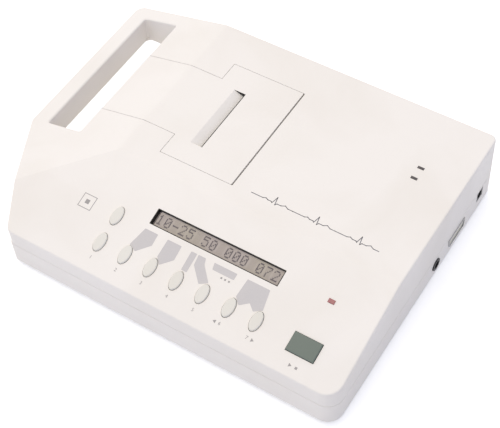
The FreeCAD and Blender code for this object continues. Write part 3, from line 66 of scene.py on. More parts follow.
GEOMETRY = "NodeSocketGeometry"
# Ends of a value's whole range, and of the range where most of a noise lies.
FULL_ENDS = (0.0, 1.0)
NOISE_ENDS = (0.3, 0.7)
WHITE = (1.0, 1.0, 1.0, 1.0)
QUARTER_TURN = math.pi / 2
MERGE_DISTANCE = 0.001 * MM


def srgb(red: int, green: int, blue: int) -> Colour:
    """Turns a colour as a screen shows it into the linear values that shaders take.

    Args:
        red: Red, 0 to 255.
        green: Green, 0 to 255.
        blue: Blue, 0 to 255.

    Returns:
        Linear red, green, blue and an alpha of 1.
    """
    linear = []
    for value in (red, green, blue):
        share = value / 255
        linear.append(share / 12.92 if share <= 0.04045 else ((share + 0.055) / 1.055) ** 2.4)
    return (linear[0], linear[1], linear[2], 1.0)


def spaced(words: dict[str, float]) -> dict[str, float]:
    """Returns the same values with spaces for the underscores in their names."""
    return {key.replace("_", " "): value for key, value in words.items()}


class Print(Enum):
    """Inks on the panel and the deck."""

    LEGEND = srgb(201, 197, 197)
    MARK = srgb(112, 111, 118)
    CAPTION = srgb(158, 154, 153)


class NodeSketch:
    """Adds nodes to one tree and joins them as they are added."""

    def __init__(self, tree: NodeTree) -> None:
        """Takes the tree that the nodes go into."""
        self.tree = tree

    def fill(self, node: Node, inputs: dict) -> None:
        """Sets or joins a node's inputs.

        Args:
            node: The node.
            inputs: Values or sockets, by the inputs' names or indices.
        """
        for key, value in inputs.items():
            if isinstance(value, NodeSocket):
                self.tree.links.new(value, node.inputs[key])
            else:
                node.inputs[key].default_value = value

    def add(self, kind: str, inputs: dict | None = None, **settings: object) -> Node:
        """Adds one node.

        Args:
            kind: The node's type name.
            inputs: Values or sockets for its inputs.
            **settings: The node's own properties.

        Returns:
            The new node.
        """
        node = self.tree.nodes.new(kind)
        for key, value in settings.items():
            setattr(node, key, value)
        self.fill(node, inputs or {})
        return node

    def math(self, operation: str, *values: object) -> NodeSocket:
        """Returns the result of a Math node on numbers or sockets."""
        return self.add("ShaderNodeMath", dict(enumerate(values)), operation=operation).outputs[0]

    def mix(self, share: object, first: object, second: object) -> NodeSocket:
        """Returns a mix of two colours, which are a Mix node's inputs 6 and 7 and its output 2."""
        return self.add("ShaderNodeMix", {0: share, 6: first, 7: second}, data_type="RGBA").outputs[2]

    def spread(self, value: NodeSocket, ends: Ends, low: float = 0.0, high: float = 1.0) -> NodeSocket:
        """Returns a result that goes from low to high between a value's two ends, and is clamped."""
        return self.add("ShaderNodeMapRange", dict(enumerate((value, *ends, low, high)))).outputs[0]

    def noise(self, place: NodeSocket, scale: NodeSocket, **more: float) -> NodeSocket:
        """Returns a noise of 0 to 1, with its other inputs given by name."""
        return self.add("ShaderNodeTexNoise", {"Vector": place, "Scale": scale, **more}).outputs["Fac"]

    def place(self) -> NodeSocket:
        """Returns the piece's own coordinates."""
        return self.add("ShaderNodeTexCoord").outputs["Object"]

    def vector(self, *values: object) -> NodeSocket:
        """Returns a vector of three numbers or sockets."""
        return self.add("ShaderNodeCombineXYZ", dict(enumerate(values))).outputs[0]

    def moved(self, shape: NodeSocket, **how: object) -> NodeSocket:
        """Returns a shape after a Translation or a Rotation."""
        return self.add("GeometryNodeTransform", {"Geometry": shape, **how}).outputs[0]

    def cylinder(self, vertices: int, radius: NodeSocket, depth: NodeSocket) -> NodeSocket:
        """Returns an upright cylinder about the origin."""
        sizes = {"Vertices": vertices, "Radius": radius, "Depth": depth}
        return self.add("GeometryNodeMeshCylinder", sizes).outputs["Mesh"]

    def cut(self, shape: NodeSocket, tool: NodeSocket) -> NodeSocket:
        """Returns a shape without what the tool covers."""
        settings = {"operation": "DIFFERENCE", "solver": "EXACT"}
        return self.add("GeometryNodeMeshBoolean", {0: shape, 1: tool}, **settings).outputs[0]


class Paint(NodeSketch):
    """The nodes of one material, with its shader."""

    bump_strength = 0.6

    def __init__(self, material: Material) -> None:
        """Takes the material that the nodes go into."""
        material.use_nodes = True
        super().__init__(material.node_tree)
        self.shader = material.node_tree.nodes["Principled BSDF"]

    def feed(self, inputs: dict[str, object]) -> None:
        """Sets or joins the shader's inputs."""
        self.fill(self.shader, inputs)

    def bump(self, height: NodeSocket, depth: float) -> None:
        """Joins a bump to the shader, from a height of 0 to 1 and its depth in metres."""
        inputs = {"Height": height, "Strength": self.bump_strength, "Distance": depth}
        self.feed({"Normal": self.add("ShaderNodeBump", inputs).outputs[0]})


class NodeGroup:
    """A node tree, built when it is first asked for. links_in has the inputs that aren't numbers."""

    name = "node_group"
    kind = "ShaderNodeTree"
    links_in: dict[str, str] = {}
    inputs: dict[str, float] = {}
    outputs: dict[str, str] = {}

    def tree(self) -> NodeTree:
        """Returns the tree, which is built on the first call."""
        made = bpy.data.node_groups.get(self.name)
        if made:
            return made
        made = bpy.data.node_groups.new(self.name, self.kind)
        for key, kind in self.links_in.items():
            made.interface.new_socket(key, in_out="INPUT", socket_type=kind)
        for key, default in self.inputs.items():
            socket = made.interface.new_socket(key, in_out="INPUT", socket_type=NUMBER)
            socket.default_value = default
        for key, kind in self.outputs.items():
            made.interface.new_socket(key, in_out="OUTPUT", socket_type=kind)
        sketch = NodeSketch(made)
        sketch.add("NodeGroupOutput", self.draw(sketch, sketch.add("NodeGroupInput").outputs))
        return made

    def draw(self, sketch: NodeSketch, source: NodeOutputs) -> dict[str, NodeSocket]:
        """Draws the inside of the tree from its inputs and returns a socket for each output."""
        raise NotImplementedError


class ShaderGroup(NodeGroup):
    """An effect that several finishes share, as values that change over the surface."""

    def use(self, paint: Paint, **values: float) -> NodeOutputs:
        """Places the group in a material with values of its own and returns the group's outputs."""
        return paint.add("ShaderNodeGroup", spaced(values), node_tree=self.tree()).outputs


class MouldedGrain(ShaderGroup):
    """Spark-eroded mould texture: fine pits, and slow clouds where the gloss changes."""

    name = "moulded_grain"
    inputs = {"Grain Scale": 2400.0, "Cloud Scale": 18.0}
    outputs = {"Height": NUMBER, "Cloud": NUMBER}
    cloud_ends = (0.32, 0.68)

    def draw(self, sketch: NodeSketch, source: NodeOutputs) -> dict[str, NodeSocket]:
        """Draws fine noise for the height and coarse noise for the clouds.

        Args:
            sketch: Where its nodes go.
            source: Grain Scale and Cloud Scale.

        Returns:
            Height and Cloud.
        """
        place = sketch.place()
        height = sketch.noise(place, source["Grain Scale"], Detail=3.0, Roughness=0.62)
        cloud = sketch.noise(place, source["Cloud Scale"], Detail=4.0, Roughness=0.55)
        return {"Height": height, "Cloud": sketch.spread(cloud, self.cloud_ends)}


class HandlingSoil(ShaderGroup):
    """Soft yellowing in rubbed patches, and a few specks of dust, on handled plastic."""

    name = "handling_soil"
    inputs = {"Patch Scale": 14.0, "Speck Scale": 260.0}
    outputs = {"Patches": NUMBER, "Specks": NUMBER}
    patch_ends = (0.42, 0.74)
    speck_ends = (0.05, 0.09)

    def draw(self, sketch: NodeSketch, source: NodeOutputs) -> dict[str, NodeSocket]:
        """Draws patches and specks.

        Args:
            sketch: Where its nodes go.
            source: Patch Scale and Speck Scale.

        Returns:
            Patches and Specks.
        """
        place = sketch.place()
        patches = sketch.noise(place, source["Patch Scale"], Detail=5.0, Distortion=0.6)
        dots = {"Vector": place, "Scale": source["Speck Scale"]}
        distance = sketch.add("ShaderNodeTexVoronoi", dots).outputs["Distance"]
        specks = sketch.spread(distance, self.speck_ends, low=1.0, high=0.0)
        return {"Patches": sketch.spread(patches, self.patch_ends), "Specks": specks}


class BrushedLines(ShaderGroup):
    """Fine drawn lines of turned and rolled metal."""

    name = "brushed_lines"
    inputs = {"Line Scale": 900.0, "Stretch": 0.04}
    outputs = {"Lines": NUMBER, "Stain": NUMBER}

    def draw(self, sketch: NodeSketch, source: NodeOutputs) -> dict[str, NodeSocket]:
        """Draws noise that is stretched along the rolling direction.

        Args:
            sketch: Where its nodes go.
            source: Line Scale and Stretch.

        Returns:
            Lines and Stain.
        """
        place = sketch.place()
        scale = sketch.vector(source["Stretch"], 1.0, 1.0)
        drawn = sketch.add("ShaderNodeMapping", {"Vector": place, "Scale": scale}).outputs[0]
        lines = sketch.noise(drawn, source["Line Scale"], Detail=4.0)
        return {"Lines": lines, "Stain": sketch.noise(place, source["Line Scale"], Detail=2.0)}


class RuledGrid(ShaderGroup):
    """Thin ruled lines at a fixed pitch along all three axes."""

    name = "ruled_grid"
    inputs = {"Pitch": 1.0 * MM, "Line Width": 0.06 * MM}
    outputs = {"Across Y": NUMBER, "Across XZ": NUMBER}

    def draw(self, sketch: NodeSketch, source: NodeOutputs) -> dict[str, NodeSocket]:
        """Draws the lines as the remainder of each coordinate by the pitch.

        Args:
            sketch: Where its nodes go.
            source: Pitch and Line Width, in metres.

        Returns:
            Lines across Y, and lines across X and Z.
        """
        axes = sketch.add("ShaderNodeSeparateXYZ", {0: sketch.place()}).outputs
        lines = {}
        for axis in ("X", "Y", "Z"):
            rest = sketch.math("PINGPONG", axes[axis], sketch.math("MULTIPLY", source["Pitch"], 0.5))
            lines[axis] = sketch.math("LESS_THAN", rest, source["Line Width"])
        return {"Across Y": lines["Y"], "Across XZ": sketch.math("MAXIMUM", lines["X"], lines["Z"])}


MOULDED_GRAIN = MouldedGrain()
HANDLING_SOIL = HandlingSoil()
BRUSHED_LINES = BrushedLines()
RULED_GRID = RuledGrid()


@dataclass(frozen=True)
class Finish:
    """A named finish that makes one material and keeps it. Its gloss varies about its roughness."""

    name: str
    colour: Colour
    roughness: float = 0.5
    smoother: float = 0.06
    rougher: float = 0.06
    grain_scale: float = 2400.0
    cloud_scale: float = 18.0
    coat: float = 0.0

    def material(self) -> Material:
        """Returns the finish's material, which is built on the first call."""
        own_name = self.name + "_finish"
        made = bpy.data.materials.get(own_name)
        if made:
            return made
        made = bpy.data.materials.new(own_name)
        made.diffuse_color = self.colour
        paint = Paint(made)
        paint.feed({"Roughness": self.roughness, "Coat Weight": self.coat})
        self.draw(paint)
        return made

    def grain(self, paint: Paint) -> NodeOutputs:
        """Returns the mould texture's outputs at the finish's own scales."""
        return MOULDED_GRAIN.use(paint, Grain_Scale=self.grain_scale, Cloud_Scale=self.cloud_scale)

    def draw(self, paint: Paint) -> None:
        """Draws the nodes that feed the shader."""
        raise NotImplementedError

    def gloss(self, paint: Paint, value: NodeSocket, ends: Ends = NOISE_ENDS) -> NodeSocket:
        """Returns a roughness that follows another value between its two ends."""
        return paint.spread(value, ends, self.roughness - self.smoother, self.roughness + self.rougher)


@dataclass(frozen=True)
class MouldedPlastic(Finish):
    """Injection-moulded plastic with a fine mould texture and light handling soil."""

    soil: Colour = srgb(205, 194, 174)
    soil_share: float = 0.14
    grain_depth: float = 0.06 * MM
    specular: float = 0.35

    def draw(self, paint: Paint) -> None:
        """Draws mould grain, gloss clouds and soil.

        Args:
            paint: The material's nodes.
        """
        grain = self.grain(paint)
        soil = HANDLING_SOIL.use(paint)
        patches = paint.math("MULTIPLY", soil["Patches"], self.soil_share)
        specks = paint.math("MULTIPLY", soil["Specks"], self.soil_share)
        worn = paint.mix(paint.math("MAXIMUM", patches, specks), self.colour, self.soil)
        gloss = self.gloss(paint, grain["Cloud"], FULL_ENDS)
        paint.feed({"Base Color": worn, "Roughness": gloss, "Specular IOR Level": self.specular})
        paint.bump(grain["Height"], self.grain_depth)


@dataclass(frozen=True)
class BareMetal(Finish):
    """Rolled or turned metal with drawn lines and a little staining."""

    smoother: float = 0.08
    rougher: float = 0.1
    stain: Colour = srgb(120, 116, 110)
    stain_share: float = 0.35
    stain_ends: Ends = (0.45, 0.8)
    line_depth: float = 0.02 * MM

    def draw(self, paint: Paint) -> None:
        """Draws drawn lines and stains.

        Args:
            paint: The material's nodes.
        """
        brushed = BRUSHED_LINES.use(paint)
        share = paint.spread(brushed["Stain"], self.stain_ends, high=self.stain_share)
        stained = paint.mix(share, self.colour, self.stain)
        gloss = self.gloss(paint, brushed["Lines"])
        paint.feed({"Base Color": stained, "Roughness": gloss, "Metallic": 1.0})
        paint.bump(brushed["Lines"], self.line_depth)


@dataclass(frozen=True)
class MouldedRubber(Finish):
    """Matt moulded rubber with a pale bloom."""

    smoother: float = 0.1
    rougher: float = 0.1
    grain_scale: float = 1400.0
    cloud_scale: float = 60.0
    bloom: Colour = srgb(120, 120, 118)
    bloom_share: float = 0.3
    grain_depth: float = 0.12 * MM

    def draw(self, paint: Paint) -> None:
        """Draws the bloom and a coarse grain.

        Args:
            paint: The material's nodes.
        """
        grain = self.grain(paint)
        share = paint.math("MULTIPLY", grain["Cloud"], self.bloom_share)
        bloomed = paint.mix(share, self.colour, self.bloom)
        paint.feed({"Base Color": bloomed, "Roughness": self.gloss(paint, grain["Height"])})
        paint.bump(grain["Height"], self.grain_depth)


@dataclass(frozen=True)
class ChartPaper(Finish):
    """Thermal chart paper. A ruling has its pitch, its line width and its share of ink."""

    grain_scale: float = 5200.0
    ruling: Colour = srgb(236, 178, 170)
    fine: tuple[float, float, float] = (1.0 * MM, 0.05 * MM, 0.45)
    coarse: tuple[float, float, float] = (5.0 * MM, 0.11 * MM, 0.9)
    fibre_depth: float = 0.01 * MM

    def draw(self, paint: Paint) -> None:
        """Draws both rulings over a faint fibre.

        Args:
            paint: The material's nodes.
        """
        inks = []
        for pitch, width, ink in (self.fine, self.coarse):
            ruled = RULED_GRID.use(paint, Pitch=pitch, Line_Width=width)
            lines = paint.math("MAXIMUM", ruled["Across Y"], ruled["Across XZ"])
            inks.append(paint.math("MULTIPLY", lines, ink))
        paint.feed({"Base Color": paint.mix(paint.math("MAXIMUM", *inks), self.colour, self.ruling)})
        paint.bump(self.grain(paint)["Height"], self.fibre_depth)


@dataclass(frozen=True)
class CircuitBoard(Finish):
    """Lacquered glass-fibre board with tracks under the lacquer."""

    cloud_scale: float = 110.0
    coat: float = 0.4
    track: Colour = srgb(74, 132, 78)
    track_pitch: float = 2.54 * MM
    track_width: float = 0.35 * MM
    track_depth: float = 0.03 * MM
    turn_level: float = 0.5

    def draw(self, paint: Paint) -> None:
        """Draws tracks that turn where a slow cloud passes a level.

        Args:
            paint: The material's nodes.
        """
        ruled = RULED_GRID.use(paint, Pitch=self.track_pitch, Line_Width=self.track_width)
        side = paint.math("GREATER_THAN", self.grain(paint)["Cloud"], self.turn_level)
        first = paint.math("MULTIPLY", ruled["Across Y"], side)
        second = paint.math("MULTIPLY", ruled["Across XZ"], paint.math("SUBTRACT", 1.0, side))
        share = paint.math("MAXIMUM", first, second)
        paint.feed({"Base Color": paint.mix(share, self.colour, self.track)})
        paint.bump(share, self.track_depth)


@dataclass(frozen=True)
class DisplayGlass(Finish):
    """Reflective display: silver-grey polariser under clear glass, with a slow warm drift."""

    smoother: float = 0.05
    rougher: float = 0.05
    grain_scale: float = 3000.0
    cloud_scale: float = 26.0
    coat: float = 0.5
    coat_roughness: float = 0.04
    warm: Colour = srgb(163, 154, 144)

    def draw(self, paint: Paint) -> None:
        """Draws the drift along the glass and a fine polariser grain.

        Args:
            paint: The material's nodes.
        """
        grain = self.grain(paint)
        tint = paint.mix(grain["Cloud"], self.colour, self.warm)
        gloss = self.gloss(paint, grain["Height"])
        paint.feed({"Base Color": tint, "Roughness": gloss, "Coat Roughness": self.coat_roughness})


@dataclass(frozen=True)
class LampLens(Finish):
    """Unevenly tinted lens of a small lamp."""

    smoother: float = 0.0
    rougher: float = 0.12
    grain_scale: float = 900.0
    cloud_scale: float = 420.0
    coat: float = 0.6
    core: Colour = srgb(168, 92, 104)

    def draw(self, paint: Paint) -> None:
        """Draws uneven tint in the lens.

        Args:
            paint: The material's nodes.
        """
        grain = self.grain(paint)
        tint = paint.mix(grain["Cloud"], self.colour, self.core)
        paint.feed({"Base Color": tint, "Roughness": self.gloss(paint, grain["Height"])})


@dataclass(frozen=True)
class PrintedInk(Finish):
    """Screen-printed ink, slightly thin where the mould texture shows through."""

    cloud_scale: float = 90.0
    thin: Colour = srgb(228, 223, 219)
    thin_share: float = 0.12
    thin_ends: Ends = (0.45, 0.75)
    grain_depth: float = 0.03 * MM

    def draw(self, paint: Paint) -> None:
        """Draws thin spots in the ink.

        Args:
            paint: The material's nodes.
        """
        grain = self.grain(paint)
        share = paint.spread(grain["Height"], self.thin_ends, high=self.thin_share)
        thinned = paint.mix(share, self.colour, self.thin)
        paint.feed({"Base Color": thinned, "Roughness": self.gloss(paint, grain["Cloud"], FULL_ENDS)})
        paint.bump(grain["Height"], self.grain_depth)


SLIGHT_GRAIN = 0.01 * MM
COARSE_GRAIN = 0.1 * MM
CASING_PLASTIC = MouldedPlastic("casing_plastic", srgb(244, 239, 233), 0.5)
KEY_PLASTIC = MouldedPlastic("key_plastic", srgb(231, 228, 220), 0.46, soil_share=0.2)
START_PLASTIC = MouldedPlastic("start_plastic", srgb(112, 122, 114), 0.48, soil=srgb(136, 142, 134))
BLACK_PLASTIC = MouldedPlastic("black_plastic", srgb(28, 28, 30), 0.42, soil=srgb(70, 68, 64))
DOOR_PLASTIC = MouldedPlastic("door_plastic", srgb(238, 233, 227), 0.55, grain_depth=COARSE_GRAIN)
GEAR_PLASTIC = MouldedPlastic(
    "gear_plastic", srgb(222, 218, 204), 0.35, grain_depth=2 * SLIGHT_GRAIN, specular=0.5)
CELL_WRAP = MouldedPlastic(
    "cell_wrap", srgb(108, 149, 188), 0.3, soil=srgb(126, 150, 172), grain_depth=SLIGHT_GRAIN)
CERAMIC = MouldedPlastic("ceramic", srgb(226, 226, 222), 0.22, grain_depth=SLIGHT_GRAIN, specular=0.5)
CARD = MouldedPlastic("card", srgb(176, 146, 108), 0.8, soil=srgb(146, 116, 82), grain_depth=COARSE_GRAIN)
STEEL = BareMetal("steel", srgb(188, 188, 190), 0.34)
ALLOY = BareMetal("alloy", srgb(206, 206, 204), 0.42)
BRONZE = BareMetal("bronze", srgb(178, 132, 78), 0.38)
GOLD_CONTACT = BareMetal("gold_contact", srgb(226, 186, 98), 0.26)
RUBBER = MouldedRubber("rubber", srgb(46, 46, 48), 0.78)
PAPER = ChartPaper("paper", srgb(246, 243, 238), 0.72)
BOARD = CircuitBoard("board", srgb(38, 92, 52), 0.4)
DISPLAY = DisplayGlass("display", srgb(163, 151, 154), 0.3)
RED_LIGHT = LampLens("red_light", srgb(136, 68, 80), 0.2)
DARK_LIGHT = LampLens("dark_light", srgb(58, 52, 54), 0.2, core=srgb(84, 74, 74))
LEGEND_INK = PrintedInk("legend_ink", Print.LEGEND.value, thin_share=0.25)
MARK_INK = PrintedInk("mark_ink", Print.MARK.value)
CAPTION_INK = PrintedInk("caption_ink", Print.CAPTION.value)
LIT_DOT = PrintedInk("lit_dot", srgb(84, 77, 86), 0.35, thin=srgb(104, 97, 104), thin_share=0.25)
UNLIT_DOT = DisplayGlass("unlit_dot", srgb(157, 145, 148), 0.3, warm=srgb(157, 148, 139))


@dataclass(frozen=True)
class CasingFrame:
    """Datum planes of the casing, in its own millimetres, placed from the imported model."""

    case_width: float = 265.0
    front_height: float = 37.0
    deck_height: float = 59.0
    panel_run: float = 86.0

    def corner(self) -> Vector:
        """Returns the front left corner of the casing floor, in metres."""
        low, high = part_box("bottom_case")
        return Vector((high.x - self.case_width * MM, low.y, low.z))

    def deck(self) -> Matrix:
        """Returns the deck's plane: x right, y back, z up."""
        return Matrix.Translation(self.corner() + Vector((0, 0, self.deck_height * MM)))

    def panel(self) -> Matrix:
        """Returns the sloping panel's plane: x right, y up the slope, z out of it."""
        front = Matrix.Translation(self.corner() + Vector((0, 0, self.front_height * MM)))
        slope = math.atan2(self.deck_height - self.front_height, self.panel_run)
        return front @ Matrix.Rotation(slope, 4, "X")

    def right_wall(self) -> Matrix:
        """Returns the right wall's plane: x back, y up, z out of it."""
        wall = Matrix.Translation(self.corner() + Vector((self.case_width * MM, 0, 0)))
        return wall @ Matrix(((0, 0, 1), (1, 0, 0), (0, 1, 0))).to_4x4()


CASING = CasingFrame()


def dress(finish: Finish, *nodes: str) -> None:
    """Gives CAD nodes a finish.

    Args:
        finish: The finish.
        *nodes: Names of the nodes.
    """
    for name in nodes:
        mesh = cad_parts[name].data
        mesh.materials.clear()
        mesh.materials.append(finish.material())
        LOG.info("dressed %s in %s", name, finish.name)


def linked(name: str, data: ID) -> Object:
    """Returns a new object of the scene."""
    made = bpy.data.objects.new(name, data)
    bpy.context.scene.collection.objects.link(made)
    return made


def placed(name: str, mesh: Mesh, body: str | None = None) -> Object:
    """Makes a finished mesh a piece.

    Args:
        name: The piece's name.
        mesh: Its mesh, already where it belongs.
        body: The CAD body that it rides on, or None to leave it on no body.

    Returns:
        The piece.
    """
    mesh.name = name
    piece = linked(name, mesh)
    if body:
        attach(piece, body)
    LOG.info("built %s with %d faces", name, len(mesh.polygons))
    return piece


def gathered(parts: Iterable[tuple[Mesh, Matrix]], finish: Finish) -> Mesh:
    """Brings several meshes together as one and removes them.

    Args:
        parts: Each mesh with its place.
        finish: The finish of the whole.

    Returns:
        One mesh.
    """
    whole = bmesh.new()
    for mesh, place in parts:
        mesh.transform(place)
        whole.from_mesh(mesh)
        bpy.data.meshes.remove(mesh)
    for face in whole.faces:
        face.material_index = 0
    made = bpy.data.meshes.new("gathered")
    whole.to_mesh(made)
    whole.free()
    made.materials.append(finish.material())
    return made


def plates(outlines: Iterable[Outline], rise: float, corner: float = 0.0) -> Mesh:
    """Makes thin flat plates that stand just proud of a plane.

    Args:
        outlines: Corners of each plate, in millimetres, anticlockwise.
        rise: Height over the plane, in millimetres; each plate goes as deep under it.
        corner: Radius of the corners, in millimetres.

    Returns:
        One mesh of closed plates.
    """
    sheet = bmesh.new()
    for outline in outlines:
        sheet.faces.new([sheet.verts.new((x * MM, y * MM, rise * MM)) for x, y in outline])
    if corner:
        bmesh.ops.bevel(
            sheet, geom=sheet.verts[:], offset=corner * MM, segments=4, profile=0.5, affect="VERTICES")
    bmesh.ops.recalc_face_normals(sheet, faces=sheet.faces[:])
    for face in sheet.faces:
        if face.normal.z < 0:
            face.normal_flip()
    bmesh.ops.solidify(sheet, geom=sheet.faces[:], thickness=2 * rise * MM)
    bmesh.ops.recalc_face_normals(sheet, faces=sheet.faces[:])
    made = bpy.data.meshes.new("plates")
    sheet.to_mesh(made)
    sheet.free()
    return made


def plain_mesh(carrier: Object) -> Mesh:
    """Turns an object as its modifiers leave it into a plain mesh.

    Args:
        carrier: The object.

    Returns:
        A new mesh.
    """
    graph = bpy.context.evaluated_depsgraph_get()
    graph.update()
    return bpy.data.meshes.new_from_object(carrier.evaluated_get(graph), depsgraph=graph)


def numeral(text: str, height: float, rise: float) -> Mesh:
    """Makes a printed number.

    Args:
        text: The digits.
        height: Text size, in millimetres.
        rise: Height of the print over its plane and depth under it, in millimetres.

    Returns:
        A mesh centred on its plane's origin.
    """
    curve = bpy.data.curves.new("numeral", "FONT")
    curve.body = text
    curve.size = height * MM
    curve.align_x = "CENTER"
    curve.align_y = "CENTER"
    curve.extrude = rise * MM
    carrier = linked("numeral", curve)
    made = plain_mesh(carrier)
    bpy.data.objects.remove(carrier)
    bpy.data.curves.remove(curve)
    return made


def solid_boxes(node: str) -> list[tuple[Vector, Vector]]:
    """Finds the separate solids of a CAD node.

    Args:
        node: The node's name.

    Returns:
        Lowest and highest corner of each solid.
    """
    copy = bmesh.new()
    copy.from_mesh(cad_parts[node].data)
    bmesh.ops.remove_doubles(copy, verts=copy.verts[:], dist=MERGE_DISTANCE)
    left = set(copy.verts)
    boxes = []
    while left:
        wave = [left.pop()]
        points = []
        while wave:
            vert = wave.pop()
            points.append(vert.co.copy())
            near = {edge.other_vert(vert) for edge in vert.link_edges} & left
            left -= near
            wave.extend(near)
        lows = Vector([min(p[i] for p in points) for i in range(3)])
        highs = Vector([max(p[i] for p in points) for i in range(3)])
        boxes.append((lows, highs))
    copy.free()
    return sorted(boxes, key=lambda box: tuple(box[0]))


class Growth(NodeGroup):
    """A geometry node tree that repeats a small shape at points and makes the result a plain mesh."""

    kind = "GeometryNodeTree"
    links_in = {"Geometry": GEOMETRY, "Material": "NodeSocketMaterial"}
    outputs = {"Geometry": GEOMETRY}

    def draw(self, sketch: NodeSketch, source: NodeOutputs) -> dict[str, NodeSocket]:
        """Sets the shape at the points and gives it the material.

        Args:
            sketch: Where the nodes go.
            source: The tree's inputs.

        Returns:
            The whole geometry.
        """
        points = {"Points": source["Geometry"], "Instance": self.shape(sketch, source)}
        repeated = sketch.add("GeometryNodeInstanceOnPoints", points).outputs[0]
        real = sketch.add("GeometryNodeRealizeInstances", {0: repeated}).outputs[0]
        coloured = {"Geometry": real, "Material": source["Material"]}
        return {"Geometry": sketch.add("GeometryNodeSetMaterial", coloured).outputs[0]}

    def shape(self, sketch: NodeSketch, source: NodeOutputs) -> NodeSocket:
        """Draws the shape that is repeated from the tree's inputs and returns its geometry."""
        raise NotImplementedError

    def grown(self, points: Iterable[Vector], finish: Finish, **values: float) -> Mesh:
        """Repeats the shape.

        Args:
            points: Where it goes.
            finish: Its finish.
            **values: Input values, with spaces in the names as underscores.

        Returns:
            A plain mesh of all of them.
        """
        seeds = bpy.data.meshes.new(self.name)
        seeds.from_pydata([tuple(point) for point in points], [], [])
        carrier = linked(self.name, seeds)
        modifier = carrier.modifiers.new(self.name, "NODES")
        modifier.node_group = self.tree()
        sockets = {item.name: item.identifier for item in modifier.node_group.interface.items_tree
                   if item.in_out == "INPUT"}
        modifier[sockets["Material"]] = finish.material()
        for key, value in spaced(values).items():
            modifier[sockets[key]] = value
        made = plain_mesh(carrier)
        carrier.modifiers.remove(modifier)
        bpy.data.objects.remove(carrier)
        bpy.data.meshes.remove(seeds)
        return made


class DotMatrix(Growth):
    """Small square dots of a character display."""

    name = "dot_matrix"
    inputs = {"Dot Width": 0.86 * MM, "Dot Height": 1.06 * MM, "Dot Thickness": 0.05 * MM}

    def shape(self, sketch: NodeSketch, source: NodeOutputs) -> NodeSocket:
        """Returns one flat dot."""
        size = sketch.vector(source["Dot Width"], source["Dot Height"], source["Dot Thickness"])
        return sketch.add("GeometryNodeMeshCube", {"Size": size}).outputs["Mesh"]


class CrossHeadScrews(Growth):
    """Pan-head screws with a cross recess. Direction is 1 for heads up and -1 for heads down."""

    name = "cross_head_screws"
    inputs = {"Head Radius": 2.8 * MM, "Head Height": 2.0 * MM, "Shank Radius": 1.5 * MM,
              "Length": 12.0 * MM, "Direction": 1.0}
    head_sides = 40
    shank_sides = 24
    recess_width_share = 0.26
    recess_reach_share = 1.3
    shank_share = 0.53

    def shape(self, sketch: NodeSketch, source: NodeOutputs) -> NodeSocket:
        """Draws a head with its recess, and a shank; the head's outer face is at the point.

        Args:
            sketch: Where the nodes go.
            source: The tree's inputs.

        Returns:
            The screw's geometry socket.
        """
        way, radius, height = source["Direction"], source["Head Radius"], source["Head Height"]
        middle = sketch.math("MULTIPLY", sketch.math("MULTIPLY", height, -0.5), way)
        pan = sketch.cylinder(self.head_sides, radius, height)
        pan = sketch.moved(pan, Translation=sketch.vector(0.0, 0.0, middle))
        width = sketch.math("MULTIPLY", radius, self.recess_width_share)
        reach = sketch.math("MULTIPLY", radius, self.recess_reach_share)
        recess = sketch.add("GeometryNodeMeshBoolean", operation="UNION", solver="EXACT")
        for sides in ((reach, width, height), (width, reach, height)):
            bar = sketch.add("GeometryNodeMeshCube", {"Size": sketch.vector(*sides)}).outputs["Mesh"]
            sketch.fill(recess, {1: bar})
        rest = sketch.math("SUBTRACT", source["Length"], height)
        down = sketch.math("SUBTRACT", sketch.math("MULTIPLY", rest, -0.5), height)
        under = sketch.vector(0.0, 0.0, sketch.math("MULTIPLY", down, way))
        shank = sketch.cylinder(self.shank_sides, source["Shank Radius"], rest)
        shank = sketch.moved(shank, Translation=under)
        whole = sketch.add("GeometryNodeJoinGeometry")
        for part in (sketch.cut(pan, recess.outputs[0]), shank):
            sketch.fill(whole, {0: part})
        return whole.outputs[0]

    def fitted(self, node: str, heads_up: bool, head_height: float) -> None:
        """Stands screws with a recess in for a CAD node of plain ones on the casing.

        Args:
            node: The CAD node.
            heads_up: Whether the heads face up.
            head_height: Height of the heads, in millimetres.
        """
        boxes = solid_boxes(node)
        low, high = boxes[0]
        points = []
        for lows, highs in boxes:
            middle = (lows + highs) / 2
            points.append(Vector((middle.x, middle.y, highs.z if heads_up else lows.z)))
        radius = (high.x - low.x) / 2
        mesh = self.grown(
            points, STEEL, Head_Radius=radius, Head_Height=head_height * MM,
            Shank_Radius=radius * self.shank_share, Length=high.z - low.z,
            Direction=1.0 if heads_up else -1.0)
        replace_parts(placed(node + "_cross_head", mesh, "casing"), node)


class ContactSleeves(Growth):
    """Round gold sleeves of a socket's contacts, along X."""

    name = "contact_sleeves"
    inputs = {"Radius": 0.52 * MM, "Length": 4.0 * MM}
    sides = 16
    bore_share = 0.66
    floor_share = 0.2

    def shape(self, sketch: NodeSketch, source: NodeOutputs) -> NodeSocket:
        """Draws one open sleeve with a thin wall.

        Args:
            sketch: Where the nodes go.
            source: The tree's inputs.

        Returns:
            The sleeve's geometry socket.
        """
        radius, length = source["Radius"], source["Length"]
        bore = sketch.cylinder(self.sides, sketch.math("MULTIPLY", radius, self.bore_share), length)
        lift = sketch.vector(0.0, 0.0, sketch.math("MULTIPLY", length, self.floor_share))
        rod = sketch.cylinder(self.sides, radius, length)
        sleeve = sketch.cut(rod, sketch.moved(bore, Translation=lift))
        return sketch.moved(sleeve, Rotation=(0.0, QUARTER_TURN, 0.0))


